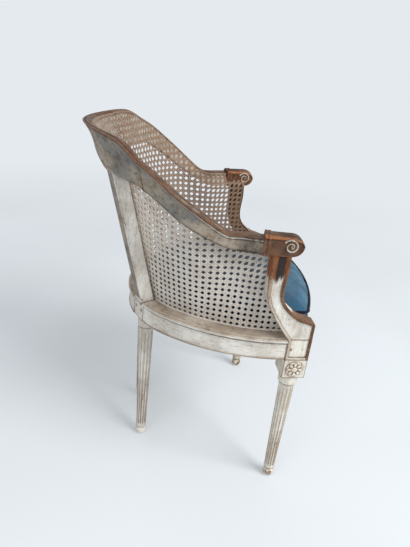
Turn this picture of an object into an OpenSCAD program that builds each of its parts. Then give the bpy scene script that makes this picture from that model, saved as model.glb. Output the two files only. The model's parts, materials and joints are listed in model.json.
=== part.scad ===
// Caned desk armchair with a horseshoe seat, turned and fluted legs and scrolled arms.
// The chair faces -Y. The sitter's left is +X. The floor is Z = 0.
// An angle along the seat frame is the direction of its outward normal: 0 is the
// rear of the chair, 90 is the side at the front post. The +X half is drawn and mirrored.

/* [Seat frame] */
// Outer radius of the rounded rear of the seat frame
back_r = 215; // [205:1:225]
// Outer radius of the long curve of a side rail
side_r = 430; // [410:2:450]
// Height of the top of the seat rails above the floor
rail_top = 444; // [430:1:460]
// Height of a seat rail
rail_h = 54; // [50:1:58]
// Width of a seat rail, outer face to inner face
rail_w = 49; // [46:0.5:49.5]
// How far the front rail bows out in front of its posts
front_bow = 46; // [36:1:56]
// Length of a tenon on the end of a seat rail
tenon_len = 18; // [14:0.5:19]
// Thickness of a tenon
tenon_t = 12; // [10:0.5:13]
// Clearance round a tenon, a dowel or a peg in its hole
fit_gap = 0.2; // [0.15:0.05:0.3]

/* [Legs] */
// Side of the square die and post over a front leg
post_w = 55; // [54.5:0.5:58]
// Height of the die with the rosette, below the seat rail
die_h = 50; // [44:1:56]
// Diameter of the rosette on the die
rosette_d = 42; // [36:1:43]
// How far the rosette stands out of the die
rosette_t = 3; // [2:0.5:4]
// Width of the rear post across the back of the chair
stile_w = 45; // [42:0.5:48]
// Angle of the rear post round the seat frame
stile_a = 25.3; // [24:0.1:27]
// Diameter of the drum at the top of a front leg
drum_d = 46; // [43:0.5:48]
// Height of the drum
drum_h = 28; // [24:1:34]
// Diameter of the fluted shaft at its top
shaft_top_d = 37; // [35:0.5:39]
// Diameter of the fluted shaft at its foot
shaft_low_d = 26; // [24:0.5:28]
// Number of flutes round a leg
flutes = 12; // [10:1:14]
// Depth of a flute
flute_d = 2.2; // [1.5:0.1:2.6]
// Diameter of the ball foot
ball_d = 29; // [27:0.5:32]

/* [Back and arms] */
// Height of the top of the crest above the floor
crest_z = 847; // [835:1:860]
// Height of the top of an arm behind its scroll
arm_z = 686; // [678:1:694]
// Depth of the crest rail at the rear posts, top to underside
crest_h = 84; // [76:1:92]
// Depth of an arm, top to underside
arm_h = 37; // [34:1:42]
// Thickness of the crest and arm rails, outer face to inner face
back_t = 38; // [37.5:0.5:40]
// Distance from the outer face of the frame in to the cane
cane_in = 34; // [31:0.5:34]
// How far the crest rolls out beyond the line of the back
crest_flare = 20; // [14:1:24]
// Rearward lean of the back, sideways shift over height
rear_lean_share = 0.23; // [0.2:0.01:0.25]
// Outward lean of the wings between the back and the arms
wing_lean_share = 0.28; // [0.25:0.01:0.3]
// Outward lean of the arms
arm_lean_share = 0.055; // [0.04:0.005:0.07]
// Radius of the scroll at the front of an arm
scroll_r = 27; // [25:0.5:28]
// Width of an arm at its scroll
arm_w = 50; // [47:1:52]
// Width of the arm support, across the chair
support_t = 44; // [40:1:46]
// Depth of the sunk fields on the arm support and post
field_d = 2; // [1:0.5:2.5]
// Width of the raised edge round a sunk field
field_edge = 7; // [6:0.5:8]

/* [Cane and cushion] */
// Thickness of the woven cane
cane_t = 3; // [2.5:0.1:3.5]
// Clearance between cane and wood, and under the cushion
soft_gap = 0.4; // [0.3:0.05:0.6]
// Height of the cushion's edge
cushion_h = 46; // [40:1:52]
// How far the cushion crowns above its edge
cushion_crown = 14; // [8:1:18]
// How far the cushion's sides draw in between their seams
cushion_draw = 4; // [2:0.5:6]
// Diameter of the piping round the cushion
piping_d = 6; // [5:0.5:7]
// Distance from the cane in to the cushion
cushion_gap = 9; // [7:0.5:12]
// How far the cushion stands out past the front rail
cushion_over = 2; // [0:0.5:4]

/* [Hidden] */

paint = "#d9d5ca";
worn_paint = "#b4a894";
walnut = "#6e4b37";
cane_tone = "#c4b698";
cushion_blue = "#3c5f78";
oak = "#a98254";
$fn = 48;

// How far a cut runs past the solid that it cuts
over = 1;
// Angle at which the rear arc of the seat frame turns into a side arc
turn_a = 50;
// Angle at which an arm's plain rail ends in its collar, and angle of the scroll's centre
collar_a = 70.5;
scroll_a = 84.8;
// Stretches over which heights and leans ease from the back to the arms
ridge_ease_a = [43, 72];
low_ease_a = [40, 71];
wing_ease_a = [20, 55];
arm_ease_a = [57, 77];
// Number of sections along the crest and along the parts of an arm
crest_sections = 32;
rail_sections = 24;
// A side rail is drawn this far past the front post's face, and cut off there
rail_over_a = 0.6;
arm_sections = 14;
pad_sections = 6;

// The chair reaches as far in front of Y = 0 as behind it
back_proud = 3;
post_proud = 1.5;
lip = 4.5;
side_dy = (back_r - side_r) * cos(turn_a);
rear_reach = back_r + back_proud + rear_lean_share * (crest_z - rail_top) + crest_flare;
front_reach = post_w - side_dy + front_bow + max(lip, cushion_over);
arc_y = (front_reach - rear_reach) / 2;
side_cx = (back_r - side_r) * sin(turn_a);
side_cy = arc_y + side_dy;
rail_low = rail_top - rail_h;
crest_low_z = crest_z - crest_h;
arm_low_z = arm_z - arm_h;

// Front post: its rear face lies on the plane where the side rail's arc ends
post_out_x = side_cx + side_r + post_proud;
post_in_x = post_out_x - post_w;
post_front_y = side_cy - post_w;
die_low = rail_low - die_h;
front_rail_r = (post_in_x ^ 2 + front_bow ^ 2) / (2 * front_bow);
front_rail_cy = post_front_y - front_bow + front_rail_r;
// The front rail is cut from a ring that spans this angle about its middle
front_span_a = 60;

// Seat rail moulding
bead = 1.5;
lip_h = 9;
groove = 2;
step = 0.5;
// The rear post's block is a little wider and deeper than the post above it
block_w = stile_w + 2 * step;

// Tenons sit this far in from the rail's outer face, with shoulders above and below
tenon_in = 22;
tenon_shoulder = 9;
rear_tenon_a = 9;
side_tenon_a = 10;
tenon_sections = 4;
peg_r = 3;
peg_len = 38;
dowel_r = 5;
dowel_len = 36;
dowel_in = 22;

// Turning of the legs
ball_r = ball_d / 2;
ball_flat = 1.5;
ball_top_a = 60;
ball_step_a = 15;
neck_cut = 3;
neck_h = 3;
shaft_foot_h = 5;
ring_h = 6;
ring_out = 2;
flute_end = 9;
flute_shares = [0, 0, 0.8, 1, 0.8];
rear_drum_less = 4;
block_in = 2;
block_d = rail_w - block_in;
post_line = 1.2;
stile_bevel = 2.5;

// Crest and arm section, its corners as shares of the thickness from the outer edge
top_bead = 4;
top_groove = 2.5;
ridge_shares = [0, 0.09, 0.22, 0.28, 0.72, 0.78, 0.92, 1];
face_shares = [0, 0.3, 0.6, 0.8];
pad_lip = 2;
pad_band = 9;
pad_hollow = 1;
pad_shares = [[0, 0], [0.02, 0.55], [0.1, 0.85], [0.28, 1], [0.72, 1], [0.9, 0.85], [0.98, 0.55], [1, 0]];
collar_out = 2;
collar_span_a = 1.2;
collar_shares = [0.2, 0.8];
nose_a = 82;
nose_sections = 9;

// Arm support: control points as shares of its reach forwards and of its height
support_h = arm_low_z - rail_top;
support_reach = 136;
support_back = 84;
support_top_y = side_cy + support_back;
back_edge_shares = [[0, 1], [0, 0.566], [0.176, 0.371], [0.603, 0]];
front_edge_shares = [[0.25, 1], [0.28, 0.566], [0.338, 0.395], [1, 0.176]];
support_steps = 14;

// Grids of the cane panels
cane_rows = 10;
cane_cols = 24;

// Cushion: the shares of its plan size at which the crown's rings lie
cushion_low = rail_top + soft_gap;
cushion_o = back_proud - cane_in - cane_t - cushion_gap;
cushion_side_steps = 14;
cushion_front_steps = 10;
cushion_corner_r = 14;
crown_shares = [0.94, 0.82, 0.64, 0.42, 0.18];
corner_shares = [1, 0.6, 0.2];
block_leg = 45;

function mix(a, b, t) = a + (b - a) * t;
function ease(span, a) = let (t = min(1, max(0, (a - span[0]) / (span[1] - span[0])))) t * t * (3 - 2 * t);
function way(a) = [sin(a), cos(a)];
function steps(a0, a1, n) = [for (i = [0:n]) mix(a0, a1, i / n)];
function reversed(p) = [for (i = [len(p) - 1:-1:0]) p[i]];

// Point of the seat frame's outer edge whose outward normal has the angle a
function base(a) = a <= turn_a ? [0, arc_y] + back_r * way(a) : [side_cx, side_cy] + side_r * way(a);

// Point at angle a, offset outwards by o, at height z
function at(a, o, z) = let (p = base(abs(a)) + o * way(abs(a))) [a < 0 ? -p[0] : p[0], p[1], z];

function lean(a) = mix(
    mix(rear_lean_share, wing_lean_share, ease(wing_ease_a, a)), arm_lean_share, ease(arm_ease_a, a));
// Offset of the back's outer face from the seat frame's outer edge
function shell(a, z) = lean(abs(a)) * (z - rail_top) + back_proud;
function flare(a) = crest_flare * (1 - ease(arm_ease_a, abs(a)));
function ridge_z(a) = mix(crest_z, arm_z, ease(ridge_ease_a, abs(a)));
function low_z(a) = mix(crest_low_z, arm_low_z, ease(low_ease_a, abs(a)));
function ridge_o(a) = shell(a, ridge_z(a)) + flare(a);

// One section of the crest or arm rail, from its lower outer edge round to its lower inner edge
function rail_section(a) =
    let (
        zl = low_z(a), zr = ridge_z(a), ro = ridge_o(a), s = ridge_shares,
        top = [zr - top_bead, zr, zr, zr - top_groove, zr - top_groove, zr, zr, zr - top_bead]
    ) concat(
        [for (v = face_shares) let (z = mix(zl, zr - top_bead, v)) at(a, shell(a, z) + flare(a) * v ^ 2, z)],
        [for (i = [0:len(s) - 1]) at(a, ro - s[i] * back_t, top[i])],
        [for (v = reversed(face_shares)) let (z = mix(zl, zr - top_bead, v))
            at(a, shell(a, z) + flare(a) * v ^ 2 - back_t, z)]
    );

// How far the side of an arm's front part is hollowed at share v of its height
function sunk(v) = 4 * pad_hollow * v * (1 - v);

// One section of the arm's front part, with its rounded pad on top
function pad_section(a, grow = 0) =
    let (o = ridge_o(a), band = arm_low_z + 2 * scroll_r - pad_band)
    concat(
        [for (v = face_shares) at(a, o - pad_lip + grow - sunk(v), mix(arm_low_z - grow, band, v))],
        [for (p = pad_shares) at(a, o + grow - p[0] * (arm_w + 2 * grow), band + p[1] * (pad_band + grow))],
        [for (v = reversed(face_shares))
            at(a, o + pad_lip - arm_w - grow + sunk(v), mix(arm_low_z - grow, band, v))]
    );

// One section through the scroll, turned by t from upright towards its front
function nose_section(t) =
    let (mid_z = arm_low_z + scroll_r, a = scroll_a + asin(scroll_r * sin(t) / side_r))
    [for (p = pad_section(a)) [p[0], p[1], mid_z + (p[2] - mid_z) * cos(t)]];

function bezier(p, t) = p[0] * (1 - t) ^ 3 + 3 * p[1] * t * (1 - t) ^ 2 + 3 * p[2] * t ^ 2 * (1 - t) + p[3] * t ^ 3;
function support_pt(p) = [support_top_y - p[0] * support_reach, rail_top + p[1] * support_h];
function edge_pts(shares) = let (c = [for (p = shares) support_pt(p)])
    [for (t = steps(0, 1, support_steps)) bezier(c, t)];
// Curve moved sideways by d, to the left of its direction
function moved(p, d) = [for (i = [0:len(p) - 1])
    let (q = p[min(i + 1, len(p) - 1)] - p[max(i - 1, 0)]) p[i] + d * [-q[1], q[0]] / norm(q)];
// Where the support's rear edge stands at height z
function back_edge_y(z) = lookup(z, [for (p = edge_pts(back_edge_shares)) [p[1], p[0]]]);

// Solid through rings of points, each ring closed and all of one length
module loft(rings) {
    n = len(rings[0]);
    m = len(rings);
    points = [for (r = rings) each r];
    walls = [for (j = [0:m - 2]) for (i = [0:n - 1])
        let (a = j * n + i, b = j * n + (i + 1) % n) each [[a, a + n, b + n], [a, b + n, b]]];
    polyhedron(points, concat([[for (i = [0:n - 1]) i]], walls, [[for (i = [n - 1:-1:0]) (m - 1) * n + i]]));
}

// Solid between two sheets of points, rows by columns, the outer sheet first
module thin_loft(outer, inner) {
    m = len(outer);
    n = len(outer[0]);
    points = concat([for (r = outer) each r], [for (r = inner) each r]);
    // Two triangles over the corners a, b, c, d
    function quad(a, b, c, d) = [[a, b, c], [a, c, d]];
    last = m * n;
    polyhedron(points, concat(
        [for (j = [0:m - 2]) for (i = [0:n - 2]) let (a = j * n + i) each quad(a, a + n, a + n + 1, a + 1)],
        [for (j = [0:m - 2]) for (i = [0:n - 2]) let (a = last + j * n + i) each quad(a, a + 1, a + n + 1, a + n)],
        [for (i = [0:n - 2]) each quad(i, i + 1, last + i + 1, last + i)],
        [for (i = [0:n - 2]) let (a = (m - 1) * n + i) each quad(a, last + a, last + a + 1, a + 1)],
        [for (j = [0:m - 2]) let (a = j * n) each quad(a, last + a, last + a + n, a + n)],
        [for (j = [0:m - 2]) let (a = j * n + n - 1) each quad(a, a + n, last + a + n, last + a)]
    ));
}

// Part of a ring about c, its profile given as offset from radius r and height
module arc_solid(a0, a1, r, c) {
    translate([c[0], c[1], 0]) rotate(90 - a1)
        rotate_extrude(angle = a1 - a0, $fn = 180) translate([r, 0]) children();
}

// Profile of a seat rail, as offsets from its outer face and heights
function rail_points() = let (face_top = rail_top - lip_h) [
    [-rail_w, rail_low], [0, rail_low], [bead, rail_low + bead], [bead, rail_low + 2 * bead],
    [-step, rail_low + 3 * bead], [-step, face_top - 2 * groove], [-groove, face_top - groove], [0, face_top],
    [lip, face_top + groove], [lip, rail_top - groove], [lip - groove, rail_top - step],
    [-groove, rail_top - step], [-2 * groove, rail_top - bead], [-3 * groove, rail_top],
    [-rail_w, rail_top],
];

module rail_profile() {
    polygon(rail_points());
}

module tenon_profile(grow) {
    translate([-tenon_in - tenon_t - grow, rail_low + tenon_shoulder - grow])
        square([tenon_t + 2 * grow, rail_h - 2 * tenon_shoulder + 2 * grow]);
}

// Places its children on the radial line of the rear post, X across the post, Y outwards
module at_stile() {
    translate([0, arc_y, 0]) rotate(-stile_a) children();
}

// Upright box along the rear post's radial line, by default as wide as its block
module stile_slab(width = block_w) {
    at_stile() translate([-width / 2, 0, rail_low - over]) cube([width, 2 * back_r, rail_h + 2 * over]);
}

// Tenon that follows the seat frame from angle a0 to angle a1
module curved_tenon(a0, a1, grow) {
    o1 = grow - tenon_in;
    o0 = -tenon_in - tenon_t - grow;
    z0 = rail_low + tenon_shoulder - grow;
    z1 = rail_top - tenon_shoulder + grow;
    loft([for (a = steps(a0, a1, tenon_sections)) [at(a, o0, z0), at(a, o1, z0), at(a, o1, z1), at(a, o0, z1)]]);
}

// Tenon into one side of the rear post: s is 1 for the side rail's and -1 for the back rail's
module rear_tenon(s, grow) {
    end_a = stile_a + s * asin((block_w / 2 - tenon_len - grow) / (back_r - tenon_in));
    root_a = stile_a + s * rear_tenon_a;
    curved_tenon(min(end_a, root_a), max(end_a, root_a), grow);
}

module side_tenon(grow) {
    curved_tenon(90 - side_tenon_a, 90 + asin((tenon_len + grow) / (side_r - tenon_in)), grow);
}

module front_ring() {
    translate([0, front_rail_cy, 0]) rotate(270 - front_span_a)
        rotate_extrude(angle = 2 * front_span_a, $fn = 180) translate([front_rail_r, 0]) children();
}

module front_tenons(grow) {
    half = post_in_x + tenon_len + grow;
    intersection() {
        front_ring() tenon_profile(grow);
        translate([-half, post_front_y - front_bow - post_w, rail_low - over])
            cube([2 * half, front_bow + 3 * post_w, rail_h + 2 * over]);
    }
}

module bore(r, h) {
    cylinder(r = r, h = h);
}

// Pegs through the four tenons of the +X side, or their holes when grown
module side_pegs(grow) {
    r = peg_r + grow;
    h = peg_len + 2 * grow;
    peg_z = rail_low + rail_h / 2;
    for (s = [-1, 1]) at_stile()
        translate([s * (block_w - tenon_len) / 2, back_r - block_in + grow, peg_z]) rotate([90, 0, 0]) bore(r, h);
    translate([post_out_x - field_d + grow, side_cy - tenon_len / 2, peg_z]) rotate([0, -90, 0]) bore(r, h);
    translate([post_in_x + tenon_len / 2, post_front_y + field_d - grow, peg_z + 3 * peg_r])
        rotate([-90, 0, 0]) bore(r, h);
}

// Dowels of the +X side, or their holes when grown: under and over the arm support, and crest to arm
module side_dowels(grow) {
    r = dowel_r + grow;
    h = dowel_len + 2 * grow;
    translate([post_out_x - dowel_in, post_front_y + dowel_in, rail_top - h / 2]) bore(r, h);
    translate([post_out_x - dowel_in, support_top_y - support_reach / 8, arm_low_z - h / 2]) bore(r, h);
    joint_z = mix(low_z(turn_a), ridge_z(turn_a), 1 / 2);
    translate(at(turn_a, shell(turn_a, joint_z) + (crest_flare / 2 - back_t) / 2, joint_z))
        rotate([0, 90, -turn_a]) translate([0, 0, -h / 2]) bore(r, h);
}

module both_sides() {
    children();
    mirror([1, 0, 0]) children();
}

function flute_ring(z, r, depth) = [for (i = [0:flutes - 1]) for (j = [0:len(flute_shares) - 1])
    let (a = (i + j / len(flute_shares)) * 360 / flutes, q = r - depth * flute_shares[j])
    [q * cos(a), q * sin(a), z]];

// Turned leg from the floor up to top_z, with a drum of the given diameter
module turned_leg(top_z, drum) {
    ball_z = ball_r - ball_flat;
    low_a = asin((ball_flat - ball_r) / ball_r);
    neck_z = ball_z + ball_r * sin(ball_top_a);
    shaft_z = neck_z + neck_h + shaft_foot_h;
    ring_z = top_z - drum_h - ring_h;
    low_r = shaft_low_d / 2;
    top_r = shaft_top_d / 2;
    ball_a = concat([low_a], [for (a = [-ball_top_a + ball_step_a / 2:ball_step_a:ball_top_a]) a], [ball_top_a]);
    ball = [for (a = ball_a) [ball_r * cos(a), ball_z + ball_r * sin(a)]];
    rotate_extrude() polygon(concat([[0, 0]], ball, [
        [low_r - neck_cut, neck_z + neck_h / 2], [low_r - neck_cut, neck_z + neck_h],
        [low_r + ring_out / 2, neck_z + neck_h], [low_r + ring_out / 2, shaft_z - ring_out],
        [low_r + step, shaft_z], [0, shaft_z],
    ]));
    slope = (top_r - low_r) / (ring_z - shaft_z);
    loft([
        flute_ring(shaft_z - over, low_r, 0),
        flute_ring(shaft_z, low_r, 0),
        flute_ring(shaft_z + flute_end, low_r + slope * flute_end, flute_d),
        flute_ring(ring_z - flute_end, top_r - slope * flute_end, flute_d),
        flute_ring(ring_z, top_r, 0),
        flute_ring(ring_z + over, top_r, 0),
    ]);
    rotate_extrude() polygon([
        [0, ring_z], [top_r + step, ring_z], [top_r + ring_out, ring_z + ring_h / 3],
        [top_r + ring_out, ring_z + 2 * ring_h / 3], [top_r, ring_z + ring_h],
        [drum / 2 - ring_out, ring_z + ring_h], [drum / 2, ring_z + ring_h + ring_out],
        [drum / 2, top_z - 2 * ring_out], [drum / 2 - ring_out, top_z],
        [drum / 2 - ring_out, top_z + over], [0, top_z + over],
    ]);
}

module rosette() {
    r = rosette_d / 2;
    rotate_extrude() polygon([
        [0, -over], [r, -over], [r, rosette_t / 2], [r - rosette_t, rosette_t], [r - 2 * rosette_t, rosette_t / 2],
        [r / 2, rosette_t / 2], [r / 4, rosette_t], [0, rosette_t],
    ]);
}

// Sunk field of the post on its outer face, and the same on its front face
module post_fields() {
    field = post_w - 2 * field_edge;
    field_z = rail_low + field_edge;
    translate([post_out_x - field_d, post_front_y + field_edge, field_z]) cube([post_w, field, rail_h]);
    translate([post_in_x + field_edge, post_front_y - post_w + field_d, field_z]) cube([field, post_w, rail_h]);
}

module front_leg() {
    color(paint) {
        difference() {
            translate([post_in_x, post_front_y, die_low]) cube([post_w, post_w, die_h + rail_h]);
            post_fields();
            difference() {
                translate([post_in_x - over, post_front_y - over, rail_low])
                    cube([post_w + 2 * over, post_w + 2 * over, post_line]);
                translate([post_in_x + post_line, post_front_y + post_line, rail_low - over])
                    cube([post_w - 2 * post_line, post_w - 2 * post_line, post_line + 2 * over]);
            }
            side_tenon(fit_gap);
            front_tenons(fit_gap);
            side_pegs(fit_gap);
            side_dowels(fit_gap);
        }
        translate([post_in_x + post_w / 2, side_cy - post_w / 2, 0]) turned_leg(die_low, drum_d);
        translate([post_out_x, side_cy - post_w / 2, die_low + die_h / 2]) rotate([0, 90, 0]) rosette();
        translate([post_in_x + post_w / 2, post_front_y, die_low + die_h / 2]) rotate([90, 0, 0]) rosette();
    }
}

// Section of the rear post above the seat, its outer face on the back's outer face
function stile_ring(z, half, thick, inset) =
    let (r = back_r + shell(stile_a, z) - inset, c = stile_bevel)
    [for (q = [[-half, r - thick], [half, r - thick], [half, r - c], [half - c, r], [c - half, r], [-half, r - c]])
        [q[0] * cos(stile_a) + q[1] * sin(stile_a), arc_y + q[1] * cos(stile_a) - q[0] * sin(stile_a), z]];

module stile_tenon(grow) {
    inset = (back_t - tenon_t) / 2 - grow;
    half = stile_w / 4 + grow;
    loft([for (z = [crest_low_z - over, crest_low_z + tenon_len + grow])
        stile_ring(z, half, tenon_t + 2 * grow, inset)]);
}

module rear_post() {
    color(paint) {
        difference() {
            at_stile() translate([-block_w / 2, back_r - block_in - block_d, rail_low]) {
                cube([block_w, block_d, rail_h]);
                translate([0, block_d / 2, rail_h - lip_h + groove])
                    cube([block_w, block_d / 2 + block_in + lip, lip_h - groove]);
            }
            rear_tenon(1, fit_gap);
            rear_tenon(-1, fit_gap);
            side_pegs(fit_gap);
        }
        loft([for (z = [rail_top - over, crest_low_z]) stile_ring(z, stile_w / 2, back_t, 0)]);
        stile_tenon(0);
        at_stile() translate([0, back_r - block_in - block_d / 2, 0]) turned_leg(rail_low, stile_w - rear_drum_less);
    }
}

module seat_rail_side() {
    color(paint) difference() {
        union() {
            difference() {
                loft([for (a = steps(stile_a, 90 + rail_over_a, rail_sections))
                    [for (p = rail_points()) at(a, p[0], p[1])]]);
                stile_slab();
                translate([0, side_cy - post_w, rail_low - over]) cube([2 * post_out_x, post_w, rail_h + 2 * over]);
            }
            rear_tenon(1, 0);
            side_tenon(0);
        }
        side_pegs(fit_gap);
    }
}

module seat_rail_back() {
    color(paint) difference() {
        union() {
            difference() {
                arc_solid(-stile_a, stile_a, back_r, [0, arc_y]) rail_profile();
                both_sides() stile_slab();
            }
            both_sides() rear_tenon(-1, 0);
        }
        both_sides() side_pegs(fit_gap);
    }
}

module seat_rail_front() {
    color(paint) difference() {
        union() {
            intersection() {
                front_ring() rail_profile();
                translate([-post_in_x, post_front_y - front_bow - post_w, rail_low - over])
                    cube([2 * post_in_x, front_bow + 3 * post_w, rail_h + 2 * over]);
            }
            front_tenons(0);
        }
        both_sides() side_pegs(fit_gap);
    }
}

// Outline of the arm support seen from the side, drawn in by d
function support_outline(d) = concat(
    moved(edge_pts(back_edge_shares), -d),
    d > 0 ? [[side_cy - d, rail_top - over], [post_front_y + d, rail_top - over]] : [[post_front_y, rail_top]],
    reversed(moved(edge_pts(front_edge_shares), d))
);

module arm_support() {
    color(paint) difference() {
        translate([post_out_x, 0, 0]) rotate([90, 0, 90]) translate([0, 0, -support_t])
            linear_extrude(support_t) polygon(support_outline(0));
        translate([post_out_x - field_d, 0, 0]) rotate([90, 0, 90])
            linear_extrude(field_d + over) polygon(support_outline(field_edge));
        side_dowels(fit_gap);
    }
}

module arm() {
    color(walnut) difference() {
        loft(concat(
            [for (a = steps(turn_a, collar_a, arm_sections)) rail_section(a)],
            [for (v = collar_shares) pad_section(collar_a + v * collar_span_a, collar_out)],
            [for (a = steps(collar_a + collar_span_a, scroll_a, pad_sections)) pad_section(a)],
            [for (t = steps(nose_a / nose_sections, nose_a, nose_sections - 1)) nose_section(t)]
        ));
        side_dowels(fit_gap);
    }
}

module crest_rail() {
    color(worn_paint) difference() {
        loft([for (a = steps(-turn_a, turn_a, crest_sections)) rail_section(a)]);
        both_sides() stile_tenon(fit_gap);
        both_sides() side_dowels(fit_gap);
    }
}

// Sheet of cane between two faces of a grid, each point given by angle and height
module cane_sheet(grid) {
    function face(d) = [for (row = grid) [for (p = row) at(p[0], shell(p[0], p[1]) - d, p[1])]];
    thin_loft(face(cane_in), face(cane_in + cane_t));
}

// Angle at which the cane meets the rear post, s is 1 on its outer side and -1 on its inner side
function stile_edge_a(z, s) =
    stile_a + s * asin((stile_w / 2 + soft_gap) / (back_r + shell(stile_a, z) - cane_in - cane_t));
// Angle at which the side cane meets the arm support
function support_edge_a(z) =
    acos((back_edge_y(z) + 2 * soft_gap - side_cy) / (side_r + shell(90, z) - cane_in));
function cane_z(a, v) = mix(rail_top + soft_gap, low_z(a) - 5 * soft_gap, v);

function back_cane_grid() = [for (v = steps(0, 1, cane_rows))
    let (z = cane_z(0, v), e = stile_edge_a(z, -1)) [for (a = steps(e, -e, cane_cols)) [a, z]]];
function side_cane_grid() = [for (v = steps(0, 1, cane_rows))
    let (e0 = stile_edge_a(cane_z(stile_a, v), 1), e1 = support_edge_a(cane_z(90, v)))
    [for (a = steps(e1, e0, cane_cols)) [a, cane_z(a, v)]]];

module cane_back() {
    color(cane_tone) cane_sheet(back_cane_grid());
}

module cane_side() {
    color(cane_tone) cane_sheet(side_cane_grid());
}

// Half of a plan outline inside the seat frame, from the rear middle round to the front middle
function half_plan(o, front_o, side_x, corner) =
    let (
        rear = [for (a = steps(0, 90, cushion_side_steps)) let (p = at(a, o, 0)) [min(p[0], side_x), p[1]]],
        r = front_rail_r + front_o,
        end_a = asin((side_x - corner) / r),
        end_y = front_rail_cy - r * cos(end_a)
    ) concat(
        rear,
        corner > 0 ? [for (t = corner_shares) [side_x - corner * (1 - sin(90 * t)), end_y + corner * t]] : [],
        [for (b = steps(end_a, 0, cushion_front_steps)) [r * sin(b), front_rail_cy - r * cos(b)]]
    );
function whole_plan(half) = concat(reversed(half), [for (i = [1:len(half) - 2]) [-half[i][0], half[i][1]]]);

module seat_cane() {
    side_x = post_in_x - soft_gap;
    color(cane_tone) translate([0, 0, rail_top - cane_t - over]) linear_extrude(cane_t)
        polygon(whole_plan(half_plan(-rail_w - soft_gap, -rail_w - soft_gap, side_x, 0)));
}

function cushion_ring(k, z, s = 1) =
    let (
        side_x = post_out_x - support_t - cushion_gap / 2 + k,
        half = half_plan(cushion_o + k, cushion_over + k, side_x, cushion_corner_r)
    )
    [for (p = whole_plan(half)) [p[0] * s, mix(0, p[1], s), z]];

module seat_cushion() {
    top = cushion_low + cushion_h;
    seam = piping_d / 4;
    color(cushion_blue) loft(concat(
        [cushion_ring(-piping_d, cushion_low)],
        [for (k = [1, 3]) cushion_ring(0, cushion_low + k * seam)],
        [cushion_ring(-piping_d / 3, cushion_low + piping_d), cushion_ring(-cushion_draw, mix(cushion_low, top, 1 / 2))],
        [cushion_ring(-piping_d / 3, top - piping_d), cushion_ring(0, top - 3 * seam), cushion_ring(0, top - seam)],
        [cushion_ring(-piping_d / 2, top)],
        [for (s = crown_shares) cushion_ring(-piping_d / 2, top + cushion_crown * (1 - s ^ 2), s)]
    ));
}

module corner_blocks() {
    x1 = post_in_x - soft_gap;
    inner_r = front_rail_r - rail_w - soft_gap;
    function front_y(x) = front_rail_cy - sqrt(inner_r ^ 2 - x ^ 2);
    color(oak) both_sides() translate([0, 0, rail_low + rail_h / 4]) linear_extrude(rail_h / 2)
        polygon([[x1, front_y(x1)], [x1, side_cy + block_leg], [x1 - block_leg, front_y(x1 - block_leg)]]);
}

module joint_pegs() {
    color(oak) both_sides() side_pegs(0);
}

module joint_dowels() {
    color(oak) both_sides() side_dowels(0);
}

module right() {
    mirror([1, 0, 0]) children();
}

front_leg();  // front_leg_left
right() front_leg();  // front_leg_right
rear_post();  // rear_post_left
right() rear_post();  // rear_post_right
seat_rail_front();
seat_rail_back();
seat_rail_side();  // seat_rail_left
right() seat_rail_side();  // seat_rail_right
arm_support();  // arm_support_left
right() arm_support();  // arm_support_right
arm();  // arm_left
right() arm();  // arm_right
crest_rail();
cane_back();
cane_side();  // cane_left
right() cane_side();  // cane_right
seat_cane();
seat_cushion();
corner_blocks();
joint_pegs();
joint_dowels();
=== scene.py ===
"""Looks of a caned desk armchair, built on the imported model's own frame.

Metres, Z up. The chair faces -Y, the sitter's left is +X and the floor is Z = 0. An angle along the seat
frame is the direction of its outward normal in degrees: 0 is the rear of the chair and 90 is the side at the
front post. An offset is how far a point lies outwards from the seat frame's outer edge.
"""

import json
import logging
import math
from dataclasses import dataclass, field
from enum import Enum
from typing import Callable, Optional, Sequence

import bmesh
import bpy
from mathutils import Matrix, Vector

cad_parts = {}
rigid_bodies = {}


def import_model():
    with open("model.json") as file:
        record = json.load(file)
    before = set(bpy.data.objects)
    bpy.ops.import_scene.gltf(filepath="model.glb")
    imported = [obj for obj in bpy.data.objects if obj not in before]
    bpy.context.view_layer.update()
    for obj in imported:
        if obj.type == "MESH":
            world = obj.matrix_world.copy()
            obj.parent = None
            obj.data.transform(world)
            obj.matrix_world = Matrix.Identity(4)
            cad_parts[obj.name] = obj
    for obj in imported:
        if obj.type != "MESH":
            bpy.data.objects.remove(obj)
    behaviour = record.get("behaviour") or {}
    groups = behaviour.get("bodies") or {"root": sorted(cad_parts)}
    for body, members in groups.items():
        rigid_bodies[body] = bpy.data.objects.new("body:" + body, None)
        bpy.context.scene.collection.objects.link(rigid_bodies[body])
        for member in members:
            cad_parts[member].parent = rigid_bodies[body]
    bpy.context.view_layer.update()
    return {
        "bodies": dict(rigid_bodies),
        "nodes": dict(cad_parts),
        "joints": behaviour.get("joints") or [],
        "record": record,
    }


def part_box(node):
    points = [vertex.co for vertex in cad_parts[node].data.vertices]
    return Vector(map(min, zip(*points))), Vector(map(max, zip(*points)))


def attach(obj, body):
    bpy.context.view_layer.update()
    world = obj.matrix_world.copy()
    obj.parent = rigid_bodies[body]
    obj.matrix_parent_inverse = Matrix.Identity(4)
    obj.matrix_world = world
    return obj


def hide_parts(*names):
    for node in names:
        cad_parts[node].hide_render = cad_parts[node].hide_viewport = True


log = logging.getLogger("armchair")
Ring = list[Vector]


class Body(Enum):
    """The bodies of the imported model."""

    FRAME = "frame"
    CUSHION = "cushion"


class Slot(Enum):
    """The material slots of the record."""

    PAINT = "painted_wood"
    WORN = "worn_wood"
    CANE = "cane"
    CLOTH = "cushion_cloth"


class Side(Enum):
    """The two sides of the chair, each with the sign of its X."""

    LEFT = 1
    RIGHT = -1

    @property
    def word(self) -> str:
        """Name of the side as the nodes spell it."""
        return self.name.lower()

    def place(self, q: Vector) -> Vector:
        """Point of the +X side moved to this side."""
        return Vector((self.value * q.x, q.y, q.z))


def mix(a: float, b: float, t: float) -> float:
    """Value at share t of the way from a to b."""
    return a + (b - a) * t


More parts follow.
